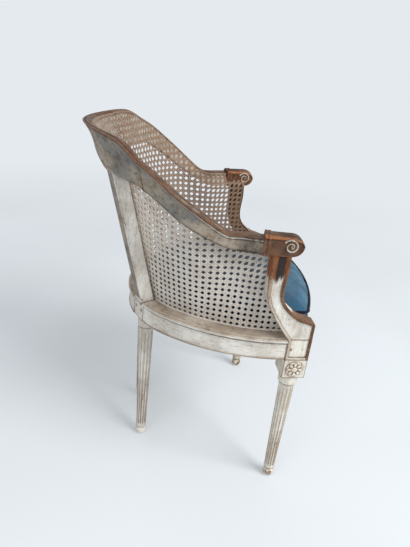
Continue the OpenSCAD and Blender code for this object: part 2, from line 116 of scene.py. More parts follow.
def ease(span: tuple[float, float], x: float) -> float:
    """Smooth step from 0 to 1 over a span."""
    t = min(1.0, max(0.0, (x - span[0]) / (span[1] - span[0])))
    return t * t * (3 - 2 * t)


def steps(a: float, b: float, n: int) -> list[float]:
    """n + 1 even values from a to b."""
    return [mix(a, b, i / n) for i in range(n + 1)]


def hump(x: float, middle: float, half: float) -> float:
    """Rounded bump of height 1 at middle that ends at half on both sides."""
    d = abs(x - middle) / half
    return 0.0 if d >= 1 else 0.5 + 0.5 * math.cos(math.pi * d)


def sind(a: float) -> float:
    """Sine of an angle in degrees."""
    return math.sin(math.radians(a))


def cosd(a: float) -> float:
    """Cosine of an angle in degrees."""
    return math.cos(math.radians(a))


@dataclass(frozen=True)
class Plan:
    """The chair's named sizes and the leaning surface that its back and arms follow."""

    # Seat frame: arcs of its outer edge, rails, front posts and the angle at which the arcs meet
    back_r: float = 0.215
    side_r: float = 0.430
    turn_a: float = 50.0
    rail_top: float = 0.444
    rail_h: float = 0.054
    rail_w: float = 0.049
    front_bow: float = 0.046
    post_w: float = 0.055
    post_proud: float = 0.0015
    # Uprights of the rear posts
    stile_w: float = 0.030
    stile_d: float = 0.034
    stile_a: float = 25.3
    stile_shift: float = 0.0085
    # Crest and arm rail: how it stands, falls, rolls out and leans
    back_proud: float = 0.003
    lip: float = 0.0045
    rear_reach: float = 0.33069
    crest_z: float = 0.8455
    arm_z: float = 0.685
    crest_low_z: float = 0.763
    arm_low_z: float = 0.648
    back_t: float = 0.038
    crest_top_t: float = 0.015
    arm_top_t: float = 0.025
    crest_flare: float = 0.015
    crest_pinch: float = 0.014
    pinch_a: float = 28.2
    rear_lean: float = 0.25
    wing_lean: float = 0.29
    arm_lean: float = 0.02
    ridge_ease: tuple[float, float] = (5.0, 69.8)
    ridge_bias: float = 3.8
    low_ease: tuple[float, float] = (46.5, 72.0)
    crest_arch: float = 0.034
    arch_ease: tuple[float, float] = (2.0, 24.0)
    wing_ease: tuple[float, float] = (35.2, 54.8)
    arm_ease: tuple[float, float] = (57.0, 73.0)
    # Collar, pad and scroll of an arm
    collar_a: float = 77.8
    collar_span: float = 1.9
    scroll_a: float = 85.5
    scroll_r: float = 0.022
    scroll_reach: float = 0.026
    arm_w: float = 0.036
    pad_lip: float = 0.0015
    pad_band: float = 0.008
    # Cane
    cane_in: float = 0.034
    cane_t: float = 0.003
    lining_gap: float = 0.0009
    # Arm supports
    support_t: float = 0.028
    support_reach: float = 0.136
    support_back: float = 0.084
    neck_shift: float = 0.014
    neck_wider: float = 0.17
    neck_ease: tuple[float, float] = (0.525, 0.625)
    knee_up: float = 0.008
    knee_z: float = 0.482
    knee_half: float = 0.032

    @property
    def side_dy(self) -> float:
        """Shift in Y from the rear arc's centre to a side arc's centre."""
        return (self.back_r - self.side_r) * cosd(self.turn_a)

    @property
    def arc_y(self) -> float:
        """Y of the rear arc's centre."""
        return (self.post_w - self.side_dy + self.front_bow + self.lip - self.rear_reach) / 2

    @property
    def side_cx(self) -> float:
        """X of the +X side arc's centre."""
        return (self.back_r - self.side_r) * sind(self.turn_a)

    @property
    def side_cy(self) -> float:
        """Y of the side arcs' centres, which is the front posts' rear face."""
        return self.arc_y + self.side_dy

    @property
    def post_x(self) -> float:
        """X of the +X front post's outer face."""
        return self.side_cx + self.side_r + self.post_proud

    @property
    def post_front(self) -> float:
        """Y of the front posts' front faces."""
        return self.side_cy - self.post_w

    @property
    def front_r(self) -> float:
        """Radius of the front rail's bow."""
        half = self.post_x - self.post_w
        return (half ** 2 + self.front_bow ** 2) / (2 * self.front_bow)

    @property
    def front_cy(self) -> float:
        """Y of the centre of the front rail's bow."""
        return self.post_front - self.front_bow + self.front_r

    def spot(self, a: float, o: float, z: float) -> Vector:
        """Point at angle a, offset o outwards from the seat frame's edge, at height z."""
        b = abs(a)
        if b <= self.turn_a:
            x, y = (self.back_r + o) * sind(b), self.arc_y + (self.back_r + o) * cosd(b)
        else:
            x, y = self.side_cx + (self.side_r + o) * sind(b), self.side_cy + (self.side_r + o) * cosd(b)
        return Vector((math.copysign(x, a) if a else 0.0, y, z))

    def stile_turn(self, side: Side) -> Matrix:
        """Turns a piece that points to the rear so that it stands over a rear post."""
        turn = Matrix.Rotation(math.radians(-self.stile_a * side.value), 4, "Z")
        return Matrix.Translation((0, self.arc_y, 0)) @ turn

    def lean(self, a: float) -> float:
        """Outward lean of the back at angle a."""
        rear = mix(self.rear_lean, self.wing_lean, ease(self.wing_ease, a))
        return mix(rear, self.arm_lean, ease(self.arm_ease, a))

    def shell(self, a: float, z: float) -> float:
        """Offset of the back's outer face at angle a and height z."""
        return self.lean(abs(a)) * (z - self.rail_top) + self.back_proud

    def flare(self, a: float) -> float:
        """How far the crest rolls out at angle a, which is least over the rear posts."""
        pinch = sind(180 * min(1.0, abs(a) / (2 * self.pinch_a))) ** 2
        return self.crest_flare * (1 - ease(self.arm_ease, abs(a))) - self.crest_pinch * pinch

    def fall(self, a: float) -> float:
        """Share of the way that the ridge has fallen from the crest to the arm, slowly first."""
        start, end = self.ridge_ease
        return ease((0.0, 1.0), min(1.0, max(0.0, (abs(a) - start) / (end - start))) ** self.ridge_bias)

    def ridge_z(self, a: float) -> float:
        """Height of the top of the crest and arm rail."""
        return mix(self.crest_z, self.arm_z, self.fall(a))

    def low_z(self, a: float) -> float:
        """Height of the underside of the crest and arm rail."""
        arch = self.crest_arch * (1 - ease(self.arch_ease, abs(a)))
        return mix(self.crest_low_z, self.arm_low_z, ease(self.low_ease, abs(a))) + arch

    def top_t(self, a: float) -> float:
        """Width of the rail's top at angle a."""
        return mix(self.crest_top_t, self.arm_top_t, self.fall(a))

    def inner_o(self, a: float, z: float) -> float:
        """Offset of the rail's inner face at height z."""
        v = (z - self.low_z(a)) / (self.ridge_z(a) - self.low_z(a))
        return self.face_o(a, z) - mix(self.back_t, self.top_t(a), max(0.0, v))

    def lining_o(self, a: float, z: float) -> float:
        """Offset of the cane, which runs up the inner faces of the posts and rails."""
        return self.inner_o(a, z) - self.lining_gap

    def face_o(self, a: float, z: float) -> float:
        """Offset of the rail's rolled outer face at height z."""
        v = (z - self.low_z(a)) / (self.ridge_z(a) - self.low_z(a))
        return self.shell(a, z) + self.flare(a) * max(0.0, v) ** 3

    def bezier(self, shares: Sequence[tuple[float, float]], t: float) -> Vector:
        """Point of one of the arm support's edges, as (Y, Z)."""
        top_y = self.side_cy + self.support_back
        height = self.arm_low_z - self.rail_top
        p = [Vector((top_y - s[0] * self.support_reach, self.rail_top + s[1] * height)) for s in shares]
        return p[0] * (1 - t) ** 3 + p[1] * 3 * t * (1 - t) ** 2 + p[2] * 3 * t ** 2 * (1 - t) + p[3] * t ** 3

    def rear_edge(self, t: float) -> Vector:
        """Point of the support's rear edge, as (Y, Z), from its top at 0 to its foot at 1."""
        return self.bezier(((0, 1), (0, 0.566), (0.176, 0.371), (0.603, 0)), t)

    def front_edge(self, t: float) -> Vector:
        """Point of the support's front edge, as (Y, Z), from its top at 0 to its foot at 1."""
        return self.bezier(((0.25, 1), (0.28, 0.566), (0.338, 0.395), (1, 0.176)), t)

    def carve(self, y: float, z: float) -> tuple[float, float]:
        """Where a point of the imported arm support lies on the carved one, as (Y, Z)."""
        along = self.neck_shift + self.neck_wider * max(0.0, self.edge_y(self.rear_edge, z) - y)
        ahead = ease((self.side_cy - 0.010, self.side_cy - 0.045), y)
        lift = self.knee_up * hump(z, self.knee_z, self.knee_half) * ahead
        return y - along * ease(self.neck_ease, z), z + lift

    def edge_y(self, edge: Callable[[float], Vector], z: float) -> float:
        """Y of one of the support's edges at height z."""
        pts = [edge(t) for t in steps(0, 1, 24)]
        for p, q in zip(pts, pts[1:]):
            if q[1] <= z <= p[1]:
                return mix(q[0], p[0], (z - q[1]) / (p[1] - q[1]))
        return pts[0][0] if z > pts[0][1] else pts[-1][0]


PLAN = Plan()


# Mesh making


@dataclass(frozen=True)
class Marks:
    """How a surface is worn at one point: bare wood, dark grime and light paint, each from 0 to 1; the light
    paint is rubbed clean paint, and a painted highlight on the arm's second bead.
    """

    bare: float = 0.0
    dark: float = 0.0
    light: float = 0.0


class Maker:
    """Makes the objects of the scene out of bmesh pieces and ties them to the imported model."""

    @staticmethod
    def finish(bm: bmesh.types.BMesh, name: str, materials: Sequence[bpy.types.Material], body: Body,
               slot: Slot, sharp: float = 40.0) -> bpy.types.Object:
        """Turns a bmesh into an object of the scene that rides on a body.

        Args:
            bm: The mesh, which is freed.
            name: The object's name.
            materials: Its materials, in the order of the faces' indices.
            body: The body that it rides on.
            slot: The record's slot for its finish; not used.
            sharp: Edges over this angle in degrees stay sharp.

        Returns:
            The new object.
        """
        for face in bm.faces:
            face.smooth = True
        for edge in bm.edges:
            edge.smooth = len(edge.link_faces) == 2 and edge.calc_face_angle(0.0) < math.radians(sharp)
        mesh = bpy.data.meshes.new(name)
        bm.to_mesh(mesh)
        bm.free()
        obj = bpy.data.objects.new(name, mesh)
        bpy.context.scene.collection.objects.link(obj)
        for material in materials:
            mesh.materials.append(material)
        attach(obj, body.value)
        log.info("%s: %d faces", name, len(mesh.polygons))
        return obj

    @staticmethod
    def skin(bm: bmesh.types.BMesh, rings: Sequence[Ring], closed: bool = True, caps: bool = True,
             marks: Optional[Callable[[int, int], Marks]] = None, outward: bool = True,
             material: int = 0) -> list[bmesh.types.BMFace]:
        """Lays a grid over rings of points.

        Args:
            bm: The mesh that the grid joins.
            rings: The rings, all of one length.
            closed: Whether each ring closes on itself.
            caps: Whether the first and last ring are filled.
            marks: Wear at ring j and point i.
            outward: Whether the normals are recalculated to point out of a closed skin.
            material: Material index of its faces.

        Returns:
            The faces of the skin.
        """
        n, m = len(rings[0]) - (0 if closed else 1), len(rings) - 1
        uv = bm.loops.layers.uv.get("UVMap") or bm.loops.layers.uv.new("UVMap")
        for key in ("bare", "dark", "light"):
            if key not in bm.verts.layers.float:
                bm.verts.layers.float.new(key)
        layers = [bm.verts.layers.float[key] for key in ("bare", "dark", "light")]
        made = bmesh.ops.create_grid(bm, x_segments=n, y_segments=m, size=0.5)["verts"]
        faces = {f for v in made for f in v.link_faces}
        place = {v: (round((v.co.x + 0.5) * n), round((v.co.y + 0.5) * m)) for v in made}
        for face in faces:
            face.material_index = material
            for loop in face.loops:
                i, j = place[loop.vert]
                loop[uv].uv = (i / n, j / m)
        for v, (i, j) in place.items():
            v.co = rings[j][i % len(rings[0])]
            if marks:
                wear = marks(j, i % len(rings[0]))
                for layer, value in zip(layers, (wear.bare, wear.dark, wear.light)):
                    v[layer] = value
        if closed:
            bmesh.ops.remove_doubles(bm, verts=made, dist=1e-6)
        live = [f for f in faces if f.is_valid]
        if caps:
            rim = {e for f in live for e in f.edges if e.is_boundary}
            live += bmesh.ops.holes_fill(bm, edges=list(rim), sides=0)["faces"]
        if outward:
            bmesh.ops.recalc_face_normals(bm, faces=live)
        return live

    @staticmethod
    def tube(bm: bmesh.types.BMesh, path: Sequence[Vector], across: Callable[[int], float], sides: int = 8,
             flat: float = 1.0, up: Optional[Sequence[Vector]] = None, loop: bool = False,
             marks: Optional[Callable[[int, int], Marks]] = None) -> None:
        """Sweeps an oval along a path.

        Args:
            bm: The mesh that the tube joins.
            path: The middle of the tube.
            across: Radius at each point of the path.
            sides: Points round the tube.
            flat: Share by which the tube is flattened along up.
            up: Direction of the flattening at each point, by default world Z.
            loop: Whether the path closes on itself.
            marks: Wear at path point j and side i.
        """
        n = len(path)
        rings: list[Ring] = []
        for j in range(n + (1 if loop else 0)):
            j %= n
            a = path[(j - 1) % n] if loop or j > 0 else path[j]
            b = path[(j + 1) % n] if loop or j < n - 1 else path[j]
            along = (b - a).normalized()
            rise = (up[j] if up else Vector((0, 0, 1)))
            rise = (rise - along * rise.dot(along)).normalized()
            out = along.cross(rise)
            r = across(j)
            turns = [360 * i / sides for i in range(sides)]
            rings.append([path[j] + out * (r * cosd(t)) + rise * (r * flat * sind(t)) for t in turns])
        faces = Maker.skin(bm, rings, caps=not loop, marks=marks)
        if loop:
            verts = list({v for f in faces if f.is_valid for v in f.verts})
            bmesh.ops.remove_doubles(bm, verts=verts, dist=1e-6)
            bmesh.ops.recalc_face_normals(bm, faces=[f for f in faces if f.is_valid])

    @staticmethod
    def copy_node(node: str) -> bmesh.types.BMesh:
        """Merged copy of a CAD node's mesh."""
        bm = bmesh.new()
        bm.from_mesh(FRAME["nodes"][node].data)
        bmesh.ops.remove_doubles(bm, verts=bm.verts, dist=2e-6)
        return bm


FRAME: dict = {}


# Materials


def srgb(r: int, g: int, b: int) -> tuple[float, float, float, float]:
    """Linear colour of an 8-bit display colour."""
    def one(c: int) -> float:
        """Linear value of one channel."""
        x = c / 255
        return x / 12.92 if x <= 0.04045 else ((x + 0.055) / 1.055) ** 2.4
    return (one(r), one(g), one(b), 1.0)


class Bench:
    """Places and links the shader nodes of one tree."""

    def __init__(self, tree: bpy.types.NodeTree) -> None:
        """Args: tree: the tree that the nodes go in."""
        self.tree = tree

    @classmethod
    def material(cls, name: str) -> tuple[bpy.types.Material, "Bench", bpy.types.Node]:
        """New material with its bench and its Principled BSDF."""
        mat = bpy.data.materials.new(name)
        mat.use_nodes = True
        return mat, cls(mat.node_tree), mat.node_tree.nodes["Principled BSDF"]

    def add(self, kind: str, inputs: Optional[dict] = None, **settings: object) -> bpy.types.Node:
        """Adds a node.

        Args:
            kind: The node's type.
            inputs: Sockets or plain values for its inputs, by name or number.
            **settings: Its own settings.

        Returns:
            The node.
        """
        node = self.tree.nodes.new(kind)
        for key, value in settings.items():
            setattr(node, key, value)
        for key, value in (inputs or {}).items():
            self.feed(node.inputs[key], value)
        return node

    def feed(self, socket: bpy.types.NodeSocket, value: object) -> None:
        """Links a socket to an output, or gives it a plain value."""
        if isinstance(value, bpy.types.NodeSocket):
            self.tree.links.new(value, socket)
        else:
            socket.default_value = value

    def math(self, op: str, a: object, b: object = 0.0, clamp: bool = False) -> bpy.types.NodeSocket:
        """Result of a math node."""
        return self.add("ShaderNodeMath", {0: a, 1: b}, operation=op, use_clamp=clamp).outputs[0]

    def blend(self, share: object, a: object, b: object, how: str = "MIX") -> bpy.types.NodeSocket:
        """Colour mixed from a to b by a share."""
        node = self.add("ShaderNodeMix", data_type="RGBA", blend_type=how, clamp_factor=True)
        self.feed(node.inputs[0], share)
        self.feed(node.inputs[6], a)
        self.feed(node.inputs[7], b)
        return node.outputs[2]

    def window(self, value: object, low: float, high: float, to_low: float = 0.0,
               to_high: float = 1.0) -> bpy.types.NodeSocket:
        """Smooth step of a value between two limits."""
        return self.add("ShaderNodeMapRange", {0: value, 1: low, 2: high, 3: to_low, 4: to_high},
                        interpolation_type="SMOOTHSTEP").outputs[0]

    def noise(self, vector: object, scale: float, detail: float = 3.0,
              rough: float = 0.55) -> bpy.types.NodeSocket:
        """Value of a noise texture."""
        return self.add("ShaderNodeTexNoise", {"Vector": vector, "Scale": scale, "Detail": detail,
                                               "Roughness": rough}).outputs["Fac"]

    def stretch(self, vector: object, scale: tuple[float, float, float]) -> bpy.types.NodeSocket:
        """Coordinates scaled along each axis."""
        return self.add("ShaderNodeMapping", {"Vector": vector, "Scale": scale}).outputs[0]

    def at(self) -> bpy.types.NodeSocket:
        """Object coordinates."""
        return self.add("ShaderNodeTexCoord").outputs["Object"]

    def axis(self, vector: object, k: int) -> bpy.types.NodeSocket:
        """Coordinate k of a vector."""
        return self.add("ShaderNodeSeparateXYZ", {0: vector}).outputs[k]

    def mark(self, name: str) -> bpy.types.NodeSocket:
        """Value of a layer of the mesh."""
        return self.add("ShaderNodeAttribute", attribute_name=name).outputs["Fac"]

    def occlusion(self, distance: float, inside: bool = False) -> bpy.types.NodeSocket:
        """How open a place is to its surroundings on the piece itself, seen from outside or inside."""
        return self.add("ShaderNodeAmbientOcclusion", {"Distance": distance}, samples=6, inside=inside,
                        only_local=True).outputs["AO"]

    def bump(self, shader: bpy.types.Node, height: object, strength: float, distance: float,
             normal: Optional[bpy.types.NodeSocket] = None) -> None:
        """Gives a shader the normal of a bumped surface.

        Args:
            shader: The shader.
            height: Height of the surface.
            strength: Strength of the bump.
            distance: Height in metres that a value of 1 stands for.
            normal: Normal of the surface without the bump, where it isn't the mesh's own.
        """
        node = self.add("ShaderNodeBump", {"Strength": strength, "Distance": distance, "Height": height})
        if normal:
            self.feed(node.inputs["Normal"], normal)
        self.feed(shader.inputs["Normal"], node.outputs[0])


def group(name: str, inputs: dict[str, object], outputs: dict[str, str]
          ) -> tuple[bpy.types.NodeTree, Bench, bpy.types.Node, bpy.types.Node]:
    """Starts a shader node group.

    Args:
        name: The group's name.
        inputs: Default value of each input. A tuple of three is a vector and one of four a colour.
        outputs: Socket type of each output.

    Returns:
        The tree, its bench, its input node and its output node.
    """
    tree = bpy.data.node_groups.new(name, "ShaderNodeTree")
    kinds = {3: "NodeSocketVector", 4: "NodeSocketColor"}
    for key, value in inputs.items():
        kind = kinds[len(value)] if isinstance(value, tuple) else "NodeSocketFloat"
        tree.interface.new_socket(name=key, in_out="INPUT", socket_type=kind).default_value = value
    for key, kind in outputs.items():
        tree.interface.new_socket(name=key, in_out="OUTPUT", socket_type=kind)
    bench = Bench(tree)
    return tree, bench, bench.add("NodeGroupInput"), bench.add("NodeGroupOutput")


def aged_paint_group() -> bpy.types.NodeTree:
    """Old paint on wood: brushed tone, chips down to the wood, bare edges, grime, and light places: rubbed
    paint, and painted highlights where a mesh marks them.
    """
    tree, b, i, o = group("aged_paint", {
        "Vector": (0.0, 0.0, 0.0), "Along": (0.0, 0.0, 0.0), "Paint": (0.8, 0.8, 0.8, 1.0),
        "Tint": (0.8, 0.8, 0.8, 1.0), "Wood": (0.3, 0.15, 0.08, 1.0), "Grime": (0.05, 0.04, 0.03, 1.0),
        "Bare": 0.0, "Dark": 0.0, "Light": 0.0, "Chips": 0.3,
    }, {"Color": "NodeSocketColor", "Roughness": "NodeSocketFloat", "Height": "NodeSocketFloat"})
    at, along = i.outputs["Vector"], i.outputs["Along"]
    brush_shade, fibre_shade = (0.62, 0.58, 0.52, 1.0), (0.45, 0.38, 0.33, 1.0)
    rubbed = (0.68, 0.65, 0.58, 1.0)
    cloud = b.noise(at, 14.0, 4.0)
    streak = b.noise(along, 60.0, 4.0, 0.65)
    fine = b.noise(along, 210.0, 3.0, 0.7)
    chips = b.noise(at, 130.0, 5.0, 0.7)
    tone = b.blend(b.window(cloud, 0.40, 0.62), i.outputs["Paint"], i.outputs["Tint"])
    tone = b.blend(b.window(streak, 0.36, 0.72, 0.0, 0.40), tone, brush_shade, "MULTIPLY")
    edge = i.outputs["Bare"]
    for texture in (chips, streak):
        edge = b.math("ADD", edge, b.math("SUBTRACT", texture, 0.5))
    bare = b.window(edge, 0.36, 0.60)
    spots = b.window(b.math("MULTIPLY", chips, b.math("ADD", streak, 0.5)), 0.60, 0.70)
    spots = b.math("MULTIPLY", spots, i.outputs["Chips"])
    wood = b.blend(b.window(fine, 0.30, 0.70, 0.15, 0.95), i.outputs["Wood"], fibre_shade, "MULTIPLY")
    tone = b.blend(b.math("MAXIMUM", bare, spots, True), tone, wood)
    # Lightens towards the rubbed colour by the light mark: rubbed paint, and a painted highlight where the
    # mark stands for one
    light = b.math("MULTIPLY", i.outputs["Light"], b.window(chips, 0.30, 0.55, 0.55, 1.0))
    tone = b.blend(light, tone, rubbed)
    dark = b.math("MULTIPLY", i.outputs["Dark"], b.window(b.noise(at, 70.0, 3.0), 0.30, 0.60, 0.55, 1.0))
    b.feed(o.inputs["Color"], b.blend(dark, tone, i.outputs["Grime"]))
    b.feed(o.inputs["Roughness"], b.math("SUBTRACT", b.window(streak, 0.3, 0.7, 0.62, 0.80),
                                         b.math("MULTIPLY", bare, 0.18)))
    height = b.math("ADD", b.math("MULTIPLY", fine, 0.35), b.math("MULTIPLY", streak, 0.45))
    height = b.math("SUBTRACT", height, b.math("MULTIPLY", b.math("MAXIMUM", bare, spots), 0.55))
    b.feed(o.inputs["Height"], height)
    return tree


def strand_group() -> bpy.types.NodeTree:
    """Split cane: glossy fibres with darker nodes, and old paint or dust that clings to it."""
    tree, b, i, o = group("cane_strand", {
        "Vector": (0.0, 0.0, 0.0), "Coat": (0.6, 0.6, 0.6, 1.0), "Cane": (0.3, 0.2, 0.1, 1.0), "Rubbed": 0.2,
    }, {"Color": "NodeSocketColor", "Height": "NodeSocketFloat"})
    at = i.outputs["Vector"]
    patch = b.noise(at, 22.0, 4.0)
    fine = b.noise(at, 420.0, 3.0, 0.7)
    dust = (0.72, 0.66, 0.60, 1.0)
    tone = b.blend(b.window(patch, 0.38, 0.66, 0.0, 0.45), i.outputs["Coat"], dust, "MULTIPLY")
    rub = b.window(b.math("ADD", fine, i.outputs["Rubbed"]), 0.62, 0.80)
    tone = b.blend(rub, tone, i.outputs["Cane"])
    b.feed(o.inputs["Color"], tone)
    b.feed(o.inputs["Height"], fine)
    return tree


def weave_group() -> bpy.types.NodeTree:
    """Fine corded cloth: warp and weft threads with small colour changes from thread to thread."""
    tree, b, i, o = group("corded_cloth", {
        "Vector": (0.0, 0.0, 0.0), "Threads": 900.0, "Cloth": (0.1, 0.2, 0.3, 1.0),
        "Bloom": (0.2, 0.3, 0.4, 1.0),
    }, {"Color": "NodeSocketColor", "Height": "NodeSocketFloat"})
    at = i.outputs["Vector"]
    ways = (b.axis(at, 0), b.math("ADD", b.axis(at, 1), b.axis(at, 2)))
    warp, weft = (b.math("SINE", b.math("MULTIPLY", way, i.outputs["Threads"])) for way in ways)
    height = b.math("MAXIMUM", warp, b.math("MULTIPLY", weft, 0.8))
    cloud = b.noise(at, 18.0, 3.0)
    slub = b.noise(b.stretch(at, (1.0, 0.12, 1.0)), 260.0, 2.0)
    tone = b.blend(b.window(cloud, 0.35, 0.68), i.outputs["Cloth"], i.outputs["Bloom"])
    tone = b.blend(b.window(slub, 0.42, 0.66, 0.0, 0.30), tone, (0.55, 0.62, 0.68, 1.0), "MULTIPLY")
    b.feed(o.inputs["Color"], tone)
    b.feed(o.inputs["Height"], height)
    return tree


@dataclass(frozen=True)
class WoodFinish:
    """A finish of old paint over wood.

    Args:
        name: The material's name.
        paint: Colour of the paint.
        tint: Colour of its duller places.
        wood: Colour of the wood under it.
        grime: Colour that the paint darkens to in its hollows and its dark marks.
        grain: Scale of the brush strokes along X, Y and Z.
        edge: How bare the edges are.
        top: How bare the upward faces are.
        base: How bare all of it is.
        chips: How many small chips show.
        hollow: How dark the corners are.
        soil: How dull the upward faces are.
        foot: How bare the wood is near the floor.
        mottle: How strong the brown clouds are.
        crack: How dark the fine cracks are.
        level: Upward part of the normal at which a face begins to count as a top, and fully does.
    """

    name: str
    paint: tuple
    tint: tuple
    wood: tuple = srgb(134, 98, 68)
    grime: tuple = srgb(84, 68, 54)
    grain: tuple = (1.0, 1.0, 0.12)
    edge: float = 0.9
    top: float = 0.25
    base: float = 0.0
    chips: float = 0.3
    hollow: float = 0.8
    soil: float = 0.0
    foot: float = 0.0
    mottle: float = 0.22
    crack: float = 0.55
    level: tuple = (0.55, 0.95)

    def marked(self, b: Bench, at: bpy.types.NodeSocket, tone: bpy.types.NodeSocket) -> bpy.types.NodeSocket:
        """Colour with the marks that only this finish has.

        Args:
            b: The material's bench.
            at: Object coordinates.
            tone: The colour without the marks.

        Returns:
            The colour with them.
        """
        return tone

    def bareness(self, b: Bench, at: bpy.types.NodeSocket, up: bpy.types.NodeSocket) -> bpy.types.NodeSocket:
        """How bare the wood is on edges, upward faces, worn places and near the floor.

        Args:
            b: The material's bench.
            at: Object coordinates.
            up: Upward part of the normal.

        Returns:
            The bareness, from 0.
        """
        edges = b.math("MULTIPLY", b.window(b.occlusion(0.0035, True), 0.98, 0.55), self.edge)
        tops = b.window(up, *self.level, 0.0, self.top)
        low = b.window(b.axis(at, 2), 0.045, 0.012, 0.0, self.foot)
        worn = b.math("ADD", b.math("ADD", b.mark("bare"), low), self.base)
        return b.math("ADD", b.math("MAXIMUM", edges, tops), worn)

    def build(self, paint_group: bpy.types.NodeTree) -> bpy.types.Material:
        """Makes the material.

        Args:
            paint_group: The shared group of old paint.

        Returns:
            The material.
        """
        mat, b, shader = Bench.material(self.name)
        at = b.at()
        brushed = b.stretch(at, self.grain)
        up = b.axis(b.add("ShaderNodeNewGeometry").outputs["Normal"], 2)
        # Darker in hollows, by the piece's own occlusion
        hollows = b.window(b.occlusion(0.007), 0.93, 0.50, 0.0, self.hollow)
        paint = b.add("ShaderNodeGroup", {
            "Vector": at, "Along": brushed, "Paint": self.paint, "Tint": self.tint, "Wood": self.wood,
            "Grime": self.grime, "Bare": self.bareness(b, at, up),
            "Dark": b.math("ADD", b.mark("dark"), hollows, True), "Light": b.mark("light"),
            "Chips": self.chips,
        }, node_tree=paint_group)
        dull = b.math("MULTIPLY", b.window(up, *self.level, 0.0, self.soil),
                      b.window(b.noise(brushed, 55.0, 4.0), 0.32, 0.62, 0.45, 1.0))
        cloudy = b.window(b.noise(at, 46.0, 6.0, 0.72), 0.48, 0.62, 0.0, self.mottle)
        cracked = b.window(b.noise(brushed, 380.0, 5.0, 0.75), 0.47, 0.36, 0.0, self.crack)
        tone = paint.outputs["Color"]
        for share, stain in ((dull, (0.46, 0.38, 0.31, 1.0)), (cloudy, (0.52, 0.44, 0.37, 1.0)),
                             (cracked, (0.44, 0.37, 0.31, 1.0))):
            tone = b.blend(share, tone, stain, "MULTIPLY")
        b.feed(shader.inputs["Base Color"], self.marked(b, at, tone))
        b.feed(shader.inputs["Roughness"], paint.outputs["Roughness"])
        shader.inputs["Specular IOR Level"].default_value = 0.35
        round_off = b.add("ShaderNodeBevel", {"Radius": 0.0012}, samples=4)
        b.bump(shader, paint.outputs["Height"], 0.35, 0.0008, round_off.outputs[0])
        return mat


@dataclass(frozen=True)
class SupportFinish(WoodFinish):
    """The finish of an arm support, stripped to red-brown wood under the scroll.

    Args:
        strip_z: Height at which the paint ends.
        strip_y: Y of the dark middle of the stripped part.
        strip: Colour of the stripped wood.
        char: Colour of its dark middle.
        char_half: Half the width of the dark middle.
        fray: Half the height over which the paint ends.
    """

    strip_z: float = 0.594
    strip_y: float = -0.1335
    strip: tuple = srgb(152, 88, 50)
    char: tuple = srgb(40, 34, 34)
    char_half: float = 0.0085
    fray: float = 0.008

    def marked(self, b: Bench, at: bpy.types.NodeSocket, tone: bpy.types.NodeSocket) -> bpy.types.NodeSocket:
        """Colour with the stripped wood and its dark middle."""
        wild = b.noise(b.stretch(at, (1.0, 1.0, 0.2)), 120.0, 4.0)
        ragged = b.math("MULTIPLY", b.math("SUBTRACT", wild, 0.5), 0.05)
        grain = b.noise(b.stretch(at, (1.0, 1.0, 0.1)), 260.0, 3.0)
        wood = b.blend(b.window(grain, 0.35, 0.65, 0.0, 0.8), self.strip, (0.42, 0.36, 0.34, 1.0), "MULTIPLY")
        away = b.math("ABSOLUTE", b.math("SUBTRACT", b.axis(at, 1), self.strip_y))
        away = b.math("ADD", away, b.math("MULTIPLY", ragged, 0.06))
        wood = b.blend(b.window(away, self.char_half + 0.001, self.char_half - 0.001), wood, self.char)
        high = b.math("ADD", b.axis(at, 2), ragged)
        return b.blend(b.window(high, self.strip_z - self.fray, self.strip_z + self.fray), tone, wood)


@dataclass(frozen=True)
class CaneFinish:
    """A finish of split cane.

    Args:
        name: The material's name.
        coat: Colour of what covers the cane.
        cane: Colour of the cane itself.
        rubbed: How much of the cane shows.
    """

    name: str
    coat: tuple
    cane: tuple
    rubbed: float

    def build(self, strands: bpy.types.NodeTree) -> bpy.types.Material:
        """Makes the material.

        Args:
            strands: The shared group of cane strands.

        Returns:
            The material.
        """
        mat, b, shader = Bench.material(self.name)
        strand = b.add("ShaderNodeGroup", {"Vector": b.at(), "Coat": self.coat, "Cane": self.cane,
                                           "Rubbed": self.rubbed}, node_tree=strands)
        b.feed(shader.inputs["Base Color"], strand.outputs["Color"])
        shader.inputs["Roughness"].default_value = 0.55
        b.bump(shader, strand.outputs["Height"], 0.3, 0.0004)
        return mat


@dataclass(frozen=True)
class ClothFinish:
    """A finish of corded cloth.

    Args:
        name: The material's name.
        cloth: Colour of the cloth.
        bloom: Colour of its lighter places.
        sheen: Weight of the sheen.
        shade: Painted shade: the colour of the cloth inside the back and arms, darkened to stand in for the
            shadow there.
        painted_shade_y: Y over which the painted shade gives way to the cloth's own colour, from the dark
            rear to the front.
        threads: Turns of the thread's wave in radians per metre.
    """

    name: str
    cloth: tuple
    bloom: tuple
    sheen: float
    shade: tuple = srgb(22, 34, 46)
    painted_shade_y: tuple = (-0.14, -0.22)
    threads: float = 3400.0

    def build(self, weave: bpy.types.NodeTree) -> bpy.types.Material:
        """Makes the material.

        Args:
            weave: The shared group of woven cloth.

        Returns:
            The material.
        """
        mat, b, shader = Bench.material(self.name)
        at = b.at()
        cloth = b.add("ShaderNodeGroup", {"Vector": at, "Threads": self.threads, "Cloth": self.cloth,
                                          "Bloom": self.bloom}, node_tree=weave)
        # Painted shade: the cloth darkens from the front to the rear, standing in for the shadow inside the
        # back and arms
        inside = b.window(b.axis(at, 1), self.painted_shade_y[1], self.painted_shade_y[0])
        b.feed(shader.inputs["Base Color"], b.blend(inside, cloth.outputs["Color"], self.shade))
        shader.inputs["Roughness"].default_value = 0.85
        shader.inputs["Specular IOR Level"].default_value = 0.2
        shader.inputs["Sheen Weight"].default_value = self.sheen
        shader.inputs["Sheen Roughness"].default_value = 0.4
        b.bump(shader, cloth.outputs["Height"], 0.4, 0.0003)
        return mat


